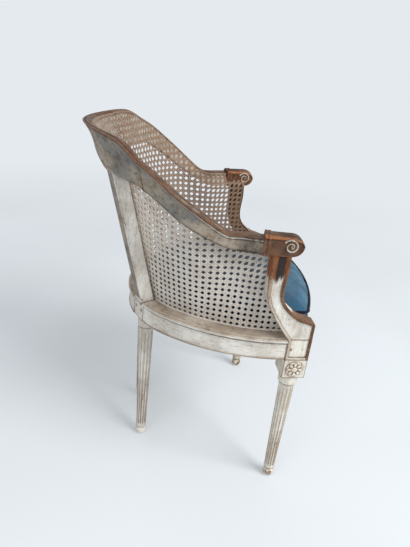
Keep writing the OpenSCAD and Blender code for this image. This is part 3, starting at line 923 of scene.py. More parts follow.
class Finishes:
    """Every finish of the chair, built once."""

    def __init__(self) -> None:
        """Builds the shared groups and the materials."""
        paint, strands, weave = aged_paint_group(), strand_group(), weave_group()
        white, dull = srgb(240, 237, 230), srgb(218, 212, 202)
        self.post = WoodFinish("white_paint_upright", white, dull, edge=1.0, chips=0.35).build(paint)
        self.support = SupportFinish("white_paint_support", white, dull, top=0.85, chips=0.35).build(paint)
        self.rail = WoodFinish("white_paint_rail", white, dull, grain=(0.12, 0.12, 1.0), top=0.18, soil=0.95,
                               hollow=0.9).build(paint)
        self.leg = WoodFinish(
            "white_paint_leg", srgb(244, 242, 232), srgb(222, 215, 200), srgb(150, 112, 80),
            srgb(112, 84, 60), grain=(1.0, 1.0, 0.08), edge=0.85, chips=0.6, hollow=1.0, foot=0.5,
            mottle=0.12, crack=0.42,
        ).build(paint)
        self.bead = WoodFinish(
            "rubbed_bead", srgb(206, 196, 180), srgb(168, 144, 120), srgb(136, 96, 64),
            grain=(1.0, 0.25, 0.25), edge=0.25, hollow=0.5).build(paint)
        self.crest = WoodFinish(
            "rubbed_grey_paint", srgb(172, 160, 144), srgb(136, 134, 130), srgb(142, 98, 64),
            srgb(66, 52, 42), grain=(0.3, 0.3, 0.5), edge=0.7, top=0.40, base=0.02, chips=0.25,
            hollow=0.6, mottle=0.75, crack=0.75,
        ).build(paint)
        self.pad = WoodFinish(
            "dark_walnut", srgb(118, 86, 64), srgb(72, 52, 42), srgb(178, 116, 66), srgb(38, 28, 26),
            grain=(1.0, 0.15, 1.0), edge=0.55, top=0.0, chips=0.2, mottle=0.8, crack=0.7).build(paint)
        self.oak = WoodFinish(
            "bare_oak", srgb(176, 136, 92), srgb(150, 112, 74), srgb(120, 84, 52), edge=0.2, top=0.0,
            chips=0.2,
        ).build(paint)
        whitened, aged = (srgb(228, 222, 214), srgb(146, 118, 94)), (srgb(148, 122, 100), srgb(98, 72, 52))
        self.cane_out = CaneFinish("cane_whitened", *whitened, 0.10).build(strands)
        self.cane_in = CaneFinish("cane_aged", *aged, 0.16).build(strands)
        self.cloth = ClothFinish("blue_cloth", srgb(54, 94, 120), srgb(74, 116, 142), 0.30).build(weave)
        self.piping = ClothFinish("navy_piping", srgb(14, 24, 40), srgb(22, 34, 52), 0.1).build(weave)


# Crest and arms


@dataclass
class Rails:
    """The crest rail and the two arms, swept along the leaning surface of the back.

    Args:
        finishes: The chair's finishes.
        crest_rings: Sections along the crest.
        arm_rings: Sections along an arm behind its collar.
        face_n: Points of a section up each face.
        top_n: Points of a section across the top.
        under_n: Points of a section across the underside.
        edge_r: Rounding of the rail's top edges.
        collar: Share of the collar's span and how far it stands out there, for each of its sections.
    """

    finishes: Finishes
    crest_rings: int = 110
    arm_rings: int = 44
    face_n: int = 26
    top_n: int = 22
    under_n: int = 4
    edge_r: float = 0.0022
    collar: tuple = ((0.0, 0.0), (0.08, 0.0014), (0.3, 0.0020), (0.42, 0.0012), (0.5, 0.0004), (0.58, 0.0012),
                     (0.7, 0.0020), (0.92, 0.0014), (1.0, 0.0))

    def bead(self, a: float) -> float:
        """How far the arm's second bead stands out at angle a, from 0 to 1."""
        return ease((47.5, 50.5), abs(a))

    def stain(self, a: float) -> float:
        """How dark the arm has grown towards its collar at angle a, from 0 to 1."""
        return ease((66.0, 76.5), abs(a))

    def section(self, a: float) -> list[tuple[Vector, Marks]]:
        """Section of the rail at angle a, from its lower outer edge over the top to its lower inner edge."""
        p = PLAN
        zl, zr = p.low_z(a), p.ridge_z(a)
        height, lead = zr - zl, self.bead(a)
        out: list[tuple[Vector, Marks]] = []
        # Depths below the ridge, close together over the beads and grooves
        near = [0.0115, 0.0103, 0.0094, 0.0084, 0.0073, 0.0064, 0.0058, 0.0050, 0.0043, 0.0036, 0.0026,
                0.0012]
        far = steps(height, near[0], self.face_n - len(near))[:-1]
        depths = far + near
        for d in depths:
            z = zr - d
            relief = -0.0012 * hump(d, 0.0050, 0.0010) + lead * 0.0011 * hump(d, 0.0078, 0.0022)
            relief -= lead * 0.0010 * hump(d, 0.0106, 0.0010)
            relief -= max(0.0, self.edge_r - d) ** 2 / self.edge_r
            relief -= max(0.0, 0.0020 - (height - d)) * 0.7
            worn = 0.65 * hump(d, 0.0015, 0.0034) + 0.15 * ease((0.02, 0.0), height - d)
            grime = 0.85 * hump(d, 0.0052, 0.0014) * mix(0.5, 1.0, lead)
            grime += 0.55 * lead * hump(d, 0.0108, 0.0013) + 0.75 * self.stain(a)
            grime += mix(0.25, 0.75, lead) * ease((0.008, 0.0), height - d)
            # Painted highlight: the light mark along the second bead lightens its paint where the bead would
            # catch the light
            marks = Marks(worn, min(1.0, grime), lead * hump(d, 0.0078, 0.0026))
            out.append((p.spot(a, p.face_o(a, z) + relief, z), marks))
        for i in range(self.top_n + 1):
            v = i / self.top_n
            o = p.face_o(a, zr) - mix(self.edge_r, p.top_t(a) - self.edge_r, v)
            s = min(v, 1 - v) * (p.top_t(a) - 2 * self.edge_r)
            relief = -0.0013 * hump(s, 0.0042, 0.0012) + 0.0012 * (1 - (2 * v - 1) ** 2) - 0.0010
            worn = 0.55 * hump(s, 0.0, 0.0046) + 0.32
            grime = 0.8 * hump(s, 0.0043, 0.0016) + 0.30 + 0.35 * self.stain(a)
            out.append((p.spot(a, o, zr + relief), Marks(worn, min(1.0, grime), 0.0)))
        for d in reversed(depths):
            z = zr - d
            relief = -0.0010 * hump(d, 0.0050, 0.0010) - max(0.0, self.edge_r - d) ** 2 / self.edge_r
            out.append((p.spot(a, p.inner_o(a, z) - relief, z),
                        Marks(0.45, 0.75 * ease((0.012, 0.008), d), 0.45 * ease((0.008, 0.012), d))))
        return out + self.underside(out)

    def underside(self, ring: list[tuple[Vector, Marks]]) -> list[tuple[Vector, Marks]]:
        """Points across the underside, from the inner edge back to the outer edge."""
        a, b = ring[-1][0], ring[0][0]
        return [(a.lerp(b, k / (self.under_n + 1)), Marks(0.2, 0.3, 0.0)) for k in range(1, self.under_n + 1)]

    def pad_section(self, a: float, grow: float, turn: float = 0.0,
                    stain: float = 0.0) -> list[tuple[Vector, Marks]]:
        """Section of an arm's front part with its rounded pad.

        Args:
            a: Angle of the section.
            grow: How far it stands out all round.
            turn: Turn towards the scroll's front, in degrees.
            stain: How darkly its outer face is stained.

        Returns:
            Its points and marks, as many as a section of the rail has.
        """
        p = PLAN
        o = p.face_o(a, p.ridge_z(a))
        band = p.arm_low_z + 2 * p.scroll_r - p.pad_band
        mid = p.arm_low_z + p.scroll_r
        a += math.degrees(math.asin(p.scroll_reach * sind(turn) / p.side_r))
        squeeze = cosd(turn)
        pts: list[tuple[float, float, Marks]] = []
        for v in steps(0, 1, self.face_n - 1):
            hollow = 0.0040 * v * (1 - v) * 0.25 - 0.0012 * hump(v, 0.93, 0.05)
            grime = 0.5 * ease((0.10, 0.0), v) + 0.8 * hump(v, 0.95, 0.05) + stain * hump(v, 0.62, 0.5)
            pts.append((o - p.pad_lip + grow - hollow, mix(p.arm_low_z - grow, band, v),
                        Marks(0.22, min(1.0, grime), 0.0)))
        for v in steps(0, 1, self.top_n):
            x = 0.5 - 0.5 * cosd(180 * v)
            rise = (1 - abs(2 * x - 1) ** 3.2) ** 0.62
            s = min(x, 1 - x) * p.arm_w
            lift = rise * (p.pad_band + grow) - 0.0012 * hump(s, 0.0120, 0.0016)
            worn = 0.75 * hump(s, 0.0, 0.0070) + 0.20 * hump(s, p.arm_w / 2, 0.006) + 0.06
            pts.append((o + grow - x * (p.arm_w + 2 * grow), band + lift,
                        Marks(worn, 0.95 * hump(s, 0.0100, 0.0034), 0.0)))
        for v in steps(1, 0, self.face_n - 1):
            hollow = 0.0040 * v * (1 - v) * 0.25
            pts.append((o + p.pad_lip - p.arm_w - grow + hollow, mix(p.arm_low_z - grow, band, v),
                        Marks(0.45, 0.2, 0.0)))
        ring = [(p.spot(a, q, mid + (z - mid) * squeeze), m) for q, z, m in pts]
        return ring + self.underside(ring)

    def crest(self) -> bpy.types.Object:
        """Builds the crest rail."""
        rings = [self.section(a) for a in steps(-PLAN.turn_a, PLAN.turn_a, self.crest_rings)]
        bm = bmesh.new()
        Maker.skin(bm, [[q for q, _ in r] for r in rings], marks=lambda j, i: rings[j][i][1])
        obj = Maker.finish(bm, "crest_rail_worn", [self.finishes.crest], Body.FRAME, Slot.WORN)
        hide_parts("crest_rail")
        return obj

    def arm(self, side: Side) -> bpy.types.Object:
        """Builds one arm with its collar, pad and scrolled front."""
        p = PLAN
        rings = [self.section(a) for a in steps(p.turn_a, p.collar_a - 0.08, self.arm_rings)]
        rings += [self.pad_section(p.collar_a + v * p.collar_span, grow) for v, grow in self.collar]
        for a in steps(p.collar_a + p.collar_span, p.scroll_a, 16)[1:]:
            rings.append(self.pad_section(a, 0.0, 0.0, 0.9 * hump(a, p.collar_a, 5.0)))
        for turn in steps(0, 86, 14)[1:]:
            rings.append(self.pad_section(p.scroll_a, 0.0, turn))
        bm = bmesh.new()
        faces = Maker.skin(bm, [[side.place(q) for q, _ in r] for r in rings],
                           marks=lambda j, i: rings[j][i][1])
        collar_y = p.spot(p.collar_a, 0.0, 0.0).y
        for face in faces:
            face.material_index = int(face.calc_center_median().y < collar_y)
        obj = Maker.finish(bm, f"arm_{side.word}_worn", [self.finishes.crest, self.finishes.pad], Body.FRAME,
                           Slot.WORN)
        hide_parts(f"arm_{side.word}")
        return obj

    def volutes(self, side: Side) -> bpy.types.Object:
        """Builds the raised spirals and eyes on both faces of an arm's scroll."""
        p = PLAN
        ridge = p.face_o(p.scroll_a, p.ridge_z(p.scroll_a))
        mid = p.arm_low_z + p.scroll_r
        bm = bmesh.new()
        for face_o, out in ((ridge - p.pad_lip, 1), (ridge + p.pad_lip - p.arm_w, -1)):
            path: list[Vector] = []
            for t in steps(0, 1, 70):
                turn = 150 - 600 * t
                r = mix(0.0168, 0.0034, t ** 0.82)
                a = p.scroll_a + math.degrees(r * cosd(turn) / (p.side_r + face_o)) - 0.2
                path.append(side.place(p.spot(a, face_o + out * 0.0002, mid + r * sind(turn))))
            normal = Vector((side.value * out, 0.0, 0.0))
            Maker.tube(bm, path, lambda j: mix(0.0021, 0.0011, j / 70), 8, 0.8, [normal] * len(path),
                       marks=lambda j, i: Marks(0.05, 0.0, 0.8))
            ball = bmesh.ops.create_uvsphere(bm, u_segments=16, v_segments=10, radius=0.0033)["verts"]
            bmesh.ops.scale(bm, verts=ball, vec=(0.7, 1.0, 1.0))
            bmesh.ops.translate(bm, verts=ball, vec=side.place(p.spot(p.scroll_a - 0.2, face_o, mid)))
        return Maker.finish(bm, f"scroll_spiral_{side.word}", [self.finishes.crest], Body.FRAME, Slot.WORN)

    def build(self) -> None:
        """Builds the crest and both arms."""
        self.crest()
        for side in Side:
            self.arm(side)
            self.volutes(side)


# Cane


@dataclass
class CaneWeave:
    """Six-way woven cane on a surface given by a place function.

    Args:
        pitch: Distance from hole to hole.
        strand: Width of an upright or level strand.
        slant: Width of a slanting strand.
        pair: Half the distance between the two strands of a pair.
        float_h: How far a slanting strand rises over what it crosses.
        thick: Thickness of a strand.
    """

    pitch: float = 0.0141
    strand: float = 0.0021
    slant: float = 0.0026
    pair: float = 0.0015
    float_h: float = 0.0007
    thick: float = 0.0006

    def runs(self, start: Vector, end: Vector, inside: Callable[[float, float], bool]
             ) -> list[tuple[Vector, Vector]]:
        """Stretches of a straight line that lie inside the panel."""
        length = (end - start).length
        n = max(2, int(length / 0.003))
        out: list[tuple[Vector, Vector]] = []
        begin: Optional[Vector] = None
        last = start
        for k in range(n + 1):
            q = start.lerp(end, k / n)
            here = inside(q.x, q.y)
            if here and begin is None:
                begin = self.edge(q, last, inside) if k else q
            if not here and begin is not None:
                out.append((begin, self.edge(last, q, inside)))
                begin = None
            last = q
        if begin is not None:
            out.append((begin, end))
        return [r for r in out if (r[1] - r[0]).length > 0.003]

    def edge(self, good: Vector, bad: Vector, inside: Callable[[float, float], bool]) -> Vector:
        """Last point inside the panel between a good point and a bad one."""
        for _ in range(7):
            middle = good.lerp(bad, 0.5)
            if inside(middle.x, middle.y):
                good = middle
            else:
                bad = middle
        return good

    def strip(self, bm: bmesh.types.BMesh, ends: tuple[Vector, Vector], width: float, step: float,
              place: Callable[[float, float, float], Vector], height: Callable[[Vector], float]) -> None:
        """Lays one strand on the surface.

        Args:
            bm: The mesh that it joins.
            ends: Its two ends in panel coordinates.
            width: Its width.
            step: Length of its segments.
            place: Point of the surface at panel coordinates and a height over it.
            height: Height of the strand over the surface at panel coordinates.
        """
        start, end = ends
        n = max(1, round((end - start).length / step))
        along = (end - start).normalized()
        left = Vector((-along.y, along.x)) * (width / 2)
        rows: list[Ring] = []
        for k in range(n + 1):
            q = start.lerp(end, k / n)
            h = height(q)
            rows.append([place(q.x + s * left.x, q.y + s * left.y, h) for s in (1, -1)])
        Maker.skin(bm, rows, closed=False, caps=False, outward=False)

    def weave(self, bm: bmesh.types.BMesh, low: Vector, high: Vector, inside: Callable[[float, float], bool],
              place: Callable[[float, float, float], Vector], straight: float = 0.012) -> None:
        """Weaves the panel.

        Args:
            bm: The mesh that the strands join.
            low: Lowest panel coordinates.
            high: Highest panel coordinates.
            inside: Whether panel coordinates lie inside the panel.
            place: Point of the surface at panel coordinates and a height over it.
            straight: Length of the segments of the upright and level strands.
        """
        p = self.pitch
        for i in range(math.floor(low.x / p) - 1, math.ceil(high.x / p) + 1):
            for s in (-self.pair, self.pair):
                x = (i + 0.5) * p + s
                for run in self.runs(Vector((x, low.y)), Vector((x, high.y)), inside):
                    self.strip(bm, run, self.strand, straight, place, lambda q: -0.0003)
        for j in range(math.floor(low.y / p) - 1, math.ceil(high.y / p) + 1):
            for s in (-self.pair, self.pair):
                y = (j + 0.5) * p + s
                for run in self.runs(Vector((low.x, y)), Vector((high.x, y)), inside):
                    self.strip(bm, run, self.strand, straight, place, lambda q: 0.0003)
        rise = high.y - low.y
        for slope in (1, -1):
            first = math.floor((low.x - rise) / p) - 1
            for m in range(first, math.ceil((high.x + rise) / p) + 2):
                x = (m + 0.5) * p
                y0, y1 = low.y, high.y
                ends = (Vector((x + slope * y0, y0)), Vector((x + slope * y1, y1)))

                def over(q: Vector, way: int = slope) -> float:
                    """Height of the slanting strand, which passes over and under what it crosses."""
                    return way * self.float_h * math.cos(2 * math.pi * (q.x / p - 0.5))

                for run in self.runs(*ends, inside):
                    self.strip(bm, run, self.slant, p * math.sqrt(2) / 6, place, over)


@dataclass
class CanePanels:
    """The caned back, sides and seat.

    Args:
        finishes: The chair's finishes.
        weave: How the cane is woven.
        binder: Width of the strand that covers the panel's edge.
        binder_up: How far that strand stands out from the cane.
        support_show: How much of a support's inner face is left free at its front.
        rim: Distance from the rails' top down to the cane's upper edge.
        foot: Distance from the seat rails' top up to the cane's lower edge.
    """

    finishes: Finishes
    weave: CaneWeave = field(default_factory=CaneWeave)
    binder: float = 0.0042
    binder_up: float = 0.0012
    support_show: float = 0.006
    rim: float = 0.0045
    foot: float = 0.0006

    def finish(self, bm: bmesh.types.BMesh, name: str, node: str,
               out: Callable[[Vector], Vector]) -> bpy.types.Object:
        """Turns the strands outwards, thickens them and makes them an object.

        Args:
            bm: The strands.
            name: The object's name.
            node: The CAD node that they stand for.
            out: Outward direction at a point.

        Returns:
            The object.
        """
        wrong = [f for f in bm.faces if f.normal.dot(out(f.calc_center_median())) < 0]
        bmesh.ops.reverse_faces(bm, faces=wrong)
        finishes = [self.finishes.cane_out, self.finishes.cane_in]
        obj = Maker.finish(bm, name, finishes, Body.FRAME, Slot.CANE, 50.0)
        solid = obj.modifiers.new("thickness", "SOLIDIFY")
        solid.thickness = self.weave.thick
        solid.offset = 0.0
        solid.material_offset = 1
        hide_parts(node)
        return obj

    def support_edge(self, z: float) -> float:
        """Angle at which the side cane ends on the arm support's inner face."""
        p = PLAN
        front, _ = p.carve(p.edge_y(p.front_edge, z), z)
        y = max(front + self.support_show, p.side_cy - 0.008) - p.side_cy
        return math.degrees(math.acos(y / (p.side_r + p.shell(90, z) - p.cane_in)))

    def back(self) -> bpy.types.Object:
        """Weaves the back between the rear posts."""
        p = PLAN
        z0, z1 = p.rail_top + self.foot, p.crest_z - self.rim

        def radius(z: float) -> float:
            """Radius of the cane at height z."""
            return p.back_r + p.lining_o(0, z)

        def inside(u: float, z: float) -> bool:
            """Whether the point lies between the middles of the posts and under the crest's top."""
            return z0 <= z <= z1 and abs(math.degrees(u / radius(z))) <= p.stile_a

        def place(u: float, z: float, h: float) -> Vector:
            """Point of the cane at arc length u and height z, h over it."""
            a = math.degrees(u / radius(z))
            return p.spot(a, p.lining_o(a, z) + h, z)

        bm = bmesh.new()
        self.weave.weave(bm, Vector((-0.17, z0)), Vector((0.17, z1)), inside, place)
        up = self.binder_up
        for z, over, shade in ((z0 + self.binder / 2, up, 0), (z1 - self.binder / 2, -up, 1)):
            rows = [[p.spot(a, p.lining_o(a, z + s * self.binder / 2) + over, z + s * self.binder / 2)
                     for s in (1, -1)] for a in steps(-p.stile_a, p.stile_a, 30)]
            Maker.skin(bm, rows, closed=False, caps=False, outward=False, material=shade)
        return self.finish(bm, "cane_back_woven", "cane_back", lambda q: Vector((q.x, q.y - p.arc_y, 0)))

    def side(self, side: Side) -> bpy.types.Object:
        """Weaves one side between its rear post and its arm support."""
        p = PLAN
        z0 = p.rail_top + self.foot
        anchor = 80.0

        def length(a: float, z: float) -> float:
            """Arc length from the anchor back to angle a, at height z."""
            total, n = 0.0, 14
            for k in range(n):
                b = mix(anchor, a, (k + 0.5) / n)
                r = (p.back_r if b <= p.turn_a else p.side_r) + p.lining_o(b, z)
                total += r * math.radians(anchor - a) / n
            return total

        heights = steps(z0, p.crest_z, 30)
        angles = steps(20, 92, 12)
        table = [[length(a, z) for a in angles] for z in heights]

        def angle(u: float, z: float) -> float:
            """Angle at arc length u from the anchor, at height z."""
            g = min(max((z - heights[0]) / (heights[1] - heights[0]), 0), len(heights) - 1.001)
            j, t = int(g), g - int(g)
            row = [mix(x, y, t) for x, y in zip(table[j], table[j + 1])]
            lo, hi = 0, len(row) - 1
            if u >= row[0]:
                return angles[0]
            if u <= row[-1]:
                return angles[-1]
            while hi - lo > 1:
                k = (lo + hi) // 2
                lo, hi = (k, hi) if row[k] > u else (lo, k)
            return mix(angles[lo], angles[hi], (row[lo] - u) / (row[lo] - row[hi]))

        def inside(u: float, z: float) -> bool:
            """Whether the point lies between post, support and rails."""
            if z < z0:
                return False
            a = angle(u, z)
            if z <= p.low_z(a):
                return p.stile_a <= a <= self.support_edge(z)
            return z <= p.ridge_z(a) - self.rim and p.stile_a <= a <= p.scroll_a

        def place(u: float, z: float, h: float) -> Vector:
            """Point of the cane at arc length u and height z, h over it."""
            a = angle(u, z)
            return side.place(p.spot(a, p.lining_o(a, z) + h, z))

        bm = bmesh.new()
        self.weave.weave(bm, Vector((-0.13, z0)), Vector((0.46, p.crest_z)), inside, place)
        half, up = self.binder / 2, self.binder_up
        foot_z = z0 + half
        foot = [[p.spot(a, p.lining_o(a, foot_z) + up, foot_z + s) for s in (half, -half)]
                for a in steps(p.stile_a, self.support_edge(foot_z), 40)]
        rim = [[p.spot(a, p.lining_o(a, z + s) - up, z + s) for s in (half, -half)]
               for a, z in ((a, p.ridge_z(a) - self.rim) for a in steps(p.stile_a, p.scroll_a, 70))]
        for shade, strip in enumerate((foot, rim)):
            rows = [[side.place(q) for q in row] for row in strip]
            Maker.skin(bm, rows, closed=False, caps=False, outward=False, material=shade)
        return self.finish(bm, f"cane_{side.word}_woven", f"cane_{side.word}",
                           lambda q: Vector((q.x, (q.y - p.side_cy) * 0.5, 0)))

    def seat(self) -> bpy.types.Object:
        """Weaves the flat seat."""
        p = PLAN
        z = p.rail_top - 0.001 - p.cane_t / 2
        gap = 0.0008
        half_x = p.post_x - p.post_w - gap
        inner_front = p.front_r - p.rail_w - gap

        def inside(x: float, y: float) -> bool:
            """Whether the point lies inside the seat rails."""
            if abs(x) > half_x or math.hypot(x, y - p.front_cy) > inner_front:
                return False
            r = math.hypot(x, y - p.arc_y)
            a = math.degrees(math.atan2(abs(x), y - p.arc_y))
            if a <= p.turn_a:
                return r <= p.back_r - p.rail_w - gap
            return y < p.side_cy or math.hypot(abs(x) - p.side_cx, y - p.side_cy) <= p.side_r - p.rail_w - gap

        bm = bmesh.new()
        self.weave.weave(bm, Vector((-0.25, -0.30)), Vector((0.25, 0.15)), inside,
                         lambda x, y, h: Vector((x, y, z + h)), 0.05)
        return self.finish(bm, "seat_cane_woven", "seat_cane", lambda q: Vector((0, 0, 1)))

    def build(self) -> None:
        """Weaves every panel."""
        self.back()
        for side in Side:
            self.side(side)
        self.seat()


# Cushion


@dataclass
class SeatCushion:
    """The loose cushion: swelled by a cloth simulation, then piped along its seams.

    Args:
        finishes: The chair's finishes.
        voxel: Voxel of the remesh.
        shrink: How much smaller the cushion starts.
        pressure: Pressure of the filling.
        cap_out: Furthest that a point moves outwards.
        cap_in: Furthest that it moves inwards.
        cap_up: Furthest that a point moves up.
        frames: Frames of the simulation.
        piping_r: Radius of the piping.
        seam_z: Height of the upper seam over the cushion's underside.
        cane_gap: Distance from the cane to the cushion's side.
    """

    finishes: Finishes
    voxel: float = 0.0055
    shrink: float = 0.994
    pressure: float = 4.0
    cap_out: float = 0.006
    cap_in: float = 0.0004
    cap_up: float = 0.017
    frames: int = 20
    piping_r: float = 0.0031
    seam_z: float = 0.046
    cane_gap: float = 0.009

    def outline(self, k: float) -> Ring:
        """Plan outline of the cushion, grown by k, from the rear round the +X side to the front and back."""
        p = PLAN
        o = p.back_proud - p.cane_in - p.cane_t - self.cane_gap + k
        side_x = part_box("seat_cushion")[1][0] + k
        corner = 0.014
        half: Ring = []
        for a in steps(0, 90, 60):
            q = p.spot(a, o, 0.0)
            half.append(Vector((min(q.x, side_x), q.y, 0)))
        r = p.front_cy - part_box("seat_cushion")[0][1] + k
        end_a = math.degrees(math.asin((side_x - corner) / r))
        end_y = p.front_cy - r * cosd(end_a)
        half += [Vector((side_x - corner * (1 - sind(90 * t)), end_y + corner * (1 - cosd(90 * t)), 0))
                 for t in (1, 0.8, 0.6, 0.4, 0.2)]
        half += [Vector((r * sind(b), p.front_cy - r * cosd(b), 0)) for b in steps(end_a, 0, 40)]
        return half + [Vector((-q.x, q.y, 0)) for q in reversed(half[1:-1])]

    def swell(self, obj: bpy.types.Object) -> None:
        """Runs the cloth simulation on the cushion and applies it within the caps."""
        scene = bpy.context.scene
        low = min(v.co.z for v in obj.data.vertices)
        rest = [v.co.copy() for v in obj.data.vertices]
        cloth = obj.modifiers.new("swell", "CLOTH")
        cloth.settings.use_pressure = True
        cloth.settings.uniform_pressure_force = self.pressure
        cloth.settings.effector_weights.gravity = 0.0
        cloth.collision_settings.use_collision = False
        scene.frame_start, scene.frame_end = 1, self.frames
        for frame in range(1, self.frames + 1):
            scene.frame_set(frame)
        graph = bpy.context.evaluated_depsgraph_get()
        shape = [v.co.copy() for v in obj.evaluated_get(graph).data.vertices]
        obj.modifiers.remove(cloth)
        scene.frame_set(1)
        for vert, start, end in zip(obj.data.vertices, rest, shape):
            move = end - start
            flat = Vector((move.x, move.y, 0))
            cap = self.cap_out if flat.dot(start) > 0 else self.cap_in
            if flat.length > cap:
                flat *= cap / flat.length
            rise = max(-self.cap_up, min(self.cap_up, move.z))
            vert.co = start + flat + Vector((0, 0, rise))
            vert.co.z = max(vert.co.z, low)

    def pad(self) -> bpy.types.Object:
        """Builds the cushion's body."""
        bm = Maker.copy_node("seat_cushion")
        low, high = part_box("seat_cushion")
        middle = Vector((0, (low[1] + high[1]) / 2, low[2]))
        bmesh.ops.scale(bm, vec=(self.shrink, self.shrink, 0.93), verts=bm.verts,
                        space=Matrix.Translation(-middle))
        obj = Maker.finish(bm, "seat_cushion_padded", [self.finishes.cloth], Body.CUSHION, Slot.CLOTH, 180.0)
        remesh = obj.modifiers.new("even", "REMESH")
        remesh.mode = "VOXEL"
        remesh.voxel_size = self.voxel
        graph = bpy.context.evaluated_depsgraph_get()
        even = bpy.data.meshes.new_from_object(obj.evaluated_get(graph))
        obj.modifiers.remove(remesh)
        old, obj.data = obj.data, even
        bpy.data.meshes.remove(old)
        if not even.materials:
            even.materials.append(self.finishes.cloth)
        self.swell(obj)
        for face in obj.data.polygons:
            face.use_smooth = True
            face.material_index = 0
        soft = obj.modifiers.new("soft", "SUBSURF")
        soft.levels = soft.render_levels = 1
        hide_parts("seat_cushion")
        return obj

    def piping(self) -> bpy.types.Object:
        """Builds the piping along the upper and lower seams."""
        low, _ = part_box("seat_cushion")
        bm = bmesh.new()
        for z in (low[2] + self.piping_r + 0.0002, low[2] + self.seam_z - self.piping_r):
            path = [Vector((q.x, q.y, z)) for q in self.outline(-self.piping_r)]
            clean = [q for j, q in enumerate(path) if (q - path[j - 1]).length > 0.0008]
            Maker.tube(bm, clean, lambda j: self.piping_r, 10, 1.0, loop=True)
        return Maker.finish(bm, "cushion_piping", [self.finishes.piping], Body.CUSHION, Slot.CLOTH)

    def build(self) -> None:
        """Builds the cushion and its piping."""
        self.pad()
        self.piping()


# Carved and moulded trim


@dataclass
class Trim:
    """Beads, rosettes and feet that the joiner adds to the plain members.

    Args:
        finishes: The chair's finishes.
        bead_w: Half width of the beads on supports and posts.
        bead_in: Distance from an edge to the middle of its bead.
        petals: Number of petals of a rosette.
        rosette_r: Radius of a rosette.
    """

    finishes: Finishes
    bead_w: float = 0.0030
    bead_in: float = 0.0036
    petals: int = 8
    rosette_r: float = 0.0215

    def support_beads(self, side: Side) -> bpy.types.Object:
        """Builds the two beads that follow an arm support's edges down the post."""
        p = PLAN
        sign = side.value
        bm = bmesh.new()
        x = sign * (p.post_x + 0.0001)
        foot = p.rail_top - p.rail_h + 0.0016
        for edge, shift, end_y in ((p.rear_edge, 1, p.side_cy), (p.front_edge, -1, p.post_front)):
            pts = [Vector(p.carve(*edge(t))) for t in steps(0, 1, 40)]
            if shift < 0:
                pts.append(Vector((p.post_front, pts[-1][1] - 0.004)))
            pts += [Vector((end_y, z)) for z in steps(pts[-1][1] - 0.003, foot, 6)]
            path: list[Vector] = []
            for j, q in enumerate(pts):
                d = pts[min(j + 1, len(pts) - 1)] - pts[max(j - 1, 0)]
                n = Vector((-d[1], d[0])).normalized() * (self.bead_in * -shift)
                if n[0] * -shift < 0:
                    n = -n
                path.append(Vector((x, q[0] + n[0], q[1] + n[1])))
            worn = 0.42 if shift < 0 else 0.10
            Maker.tube(bm, path, lambda j: self.bead_w, 10, 0.45, [Vector((1, 0, 0))] * len(path),
                       marks=lambda j, i, path=path, worn=worn: Marks(
                           worn + 0.6 * ease((0.585, 0.615), path[j].z), 0.0, 0.0))
        return Maker.finish(bm, f"support_beads_{side.word}", [self.finishes.bead], Body.FRAME, Slot.PAINT)

    def rosette(self, side: Side) -> bpy.types.Object:
        """Carves the flowers on the outer and front faces of a front leg's die."""
        p = PLAN
        bm = bmesh.new()
        z = p.rail_top - p.rail_h - 0.025
        mid_y, mid_x = p.side_cy - p.post_w / 2, p.post_x - p.post_w / 2
        proud = 0.0014
        quarter = math.radians(90)
        outward = (
            Matrix.Translation((side.value * (p.post_x + proud), mid_y, z))
            @ Matrix.Rotation(quarter * side.value, 4, "Y"),
            Matrix.Translation((side.value * mid_x, p.post_front - proud, z))
            @ Matrix.Rotation(quarter, 4, "X"),
        )
        for place in outward:
            for k in range(self.petals):
                leaf = bmesh.ops.create_uvsphere(bm, u_segments=12, v_segments=8, radius=1.0)["verts"]
                bmesh.ops.scale(bm, verts=leaf, vec=(self.rosette_r * 0.40, self.rosette_r * 0.27, 0.0022))
                bmesh.ops.translate(bm, verts=leaf, vec=(self.rosette_r * 0.58, 0, 0))
                turn = Matrix.Rotation(2 * math.pi * k / self.petals, 3, "Z")
                bmesh.ops.rotate(bm, verts=leaf, cent=(0, 0, 0), matrix=turn)
                bmesh.ops.transform(bm, verts=leaf, matrix=place)
            eye = bmesh.ops.create_uvsphere(bm, u_segments=14, v_segments=8, radius=1.0)["verts"]
            bmesh.ops.scale(bm, verts=eye, vec=(self.rosette_r * 0.2, self.rosette_r * 0.2, 0.0028))
            bmesh.ops.transform(bm, verts=eye, matrix=place)
        return Maker.finish(bm, f"rosettes_{side.word}", [self.finishes.leg], Body.FRAME, Slot.PAINT)

    def stile_foot(self, side: Side) -> bpy.types.Object:
        """Builds the small plinth at the foot of a rear post."""
        p = PLAN
        bm = bmesh.new()
        box = bmesh.ops.create_cube(bm, size=1.0)["verts"]
        bmesh.ops.scale(bm, verts=box, vec=(p.stile_w + 0.003, 0.0060, 0.0095))
        bmesh.ops.bevel(bm, geom=bm.edges[:], offset=0.0012, segments=2, profile=0.5, affect="EDGES",
                        material=-1)
        r = p.back_r + p.shell(p.stile_a, p.rail_top) - 0.0008
        bmesh.ops.translate(bm, verts=bm.verts, vec=(side.value * p.stile_shift, r, p.rail_top + 0.0040))
        bmesh.ops.transform(bm, verts=bm.verts, matrix=p.stile_turn(side))
        return Maker.finish(bm, f"stile_foot_{side.word}", [self.finishes.post], Body.FRAME, Slot.PAINT)

    def build(self) -> None:
        """Builds the trim of both sides."""
        for side in Side:
            self.support_beads(side)
            self.rosette(side)
            self.stile_foot(side)


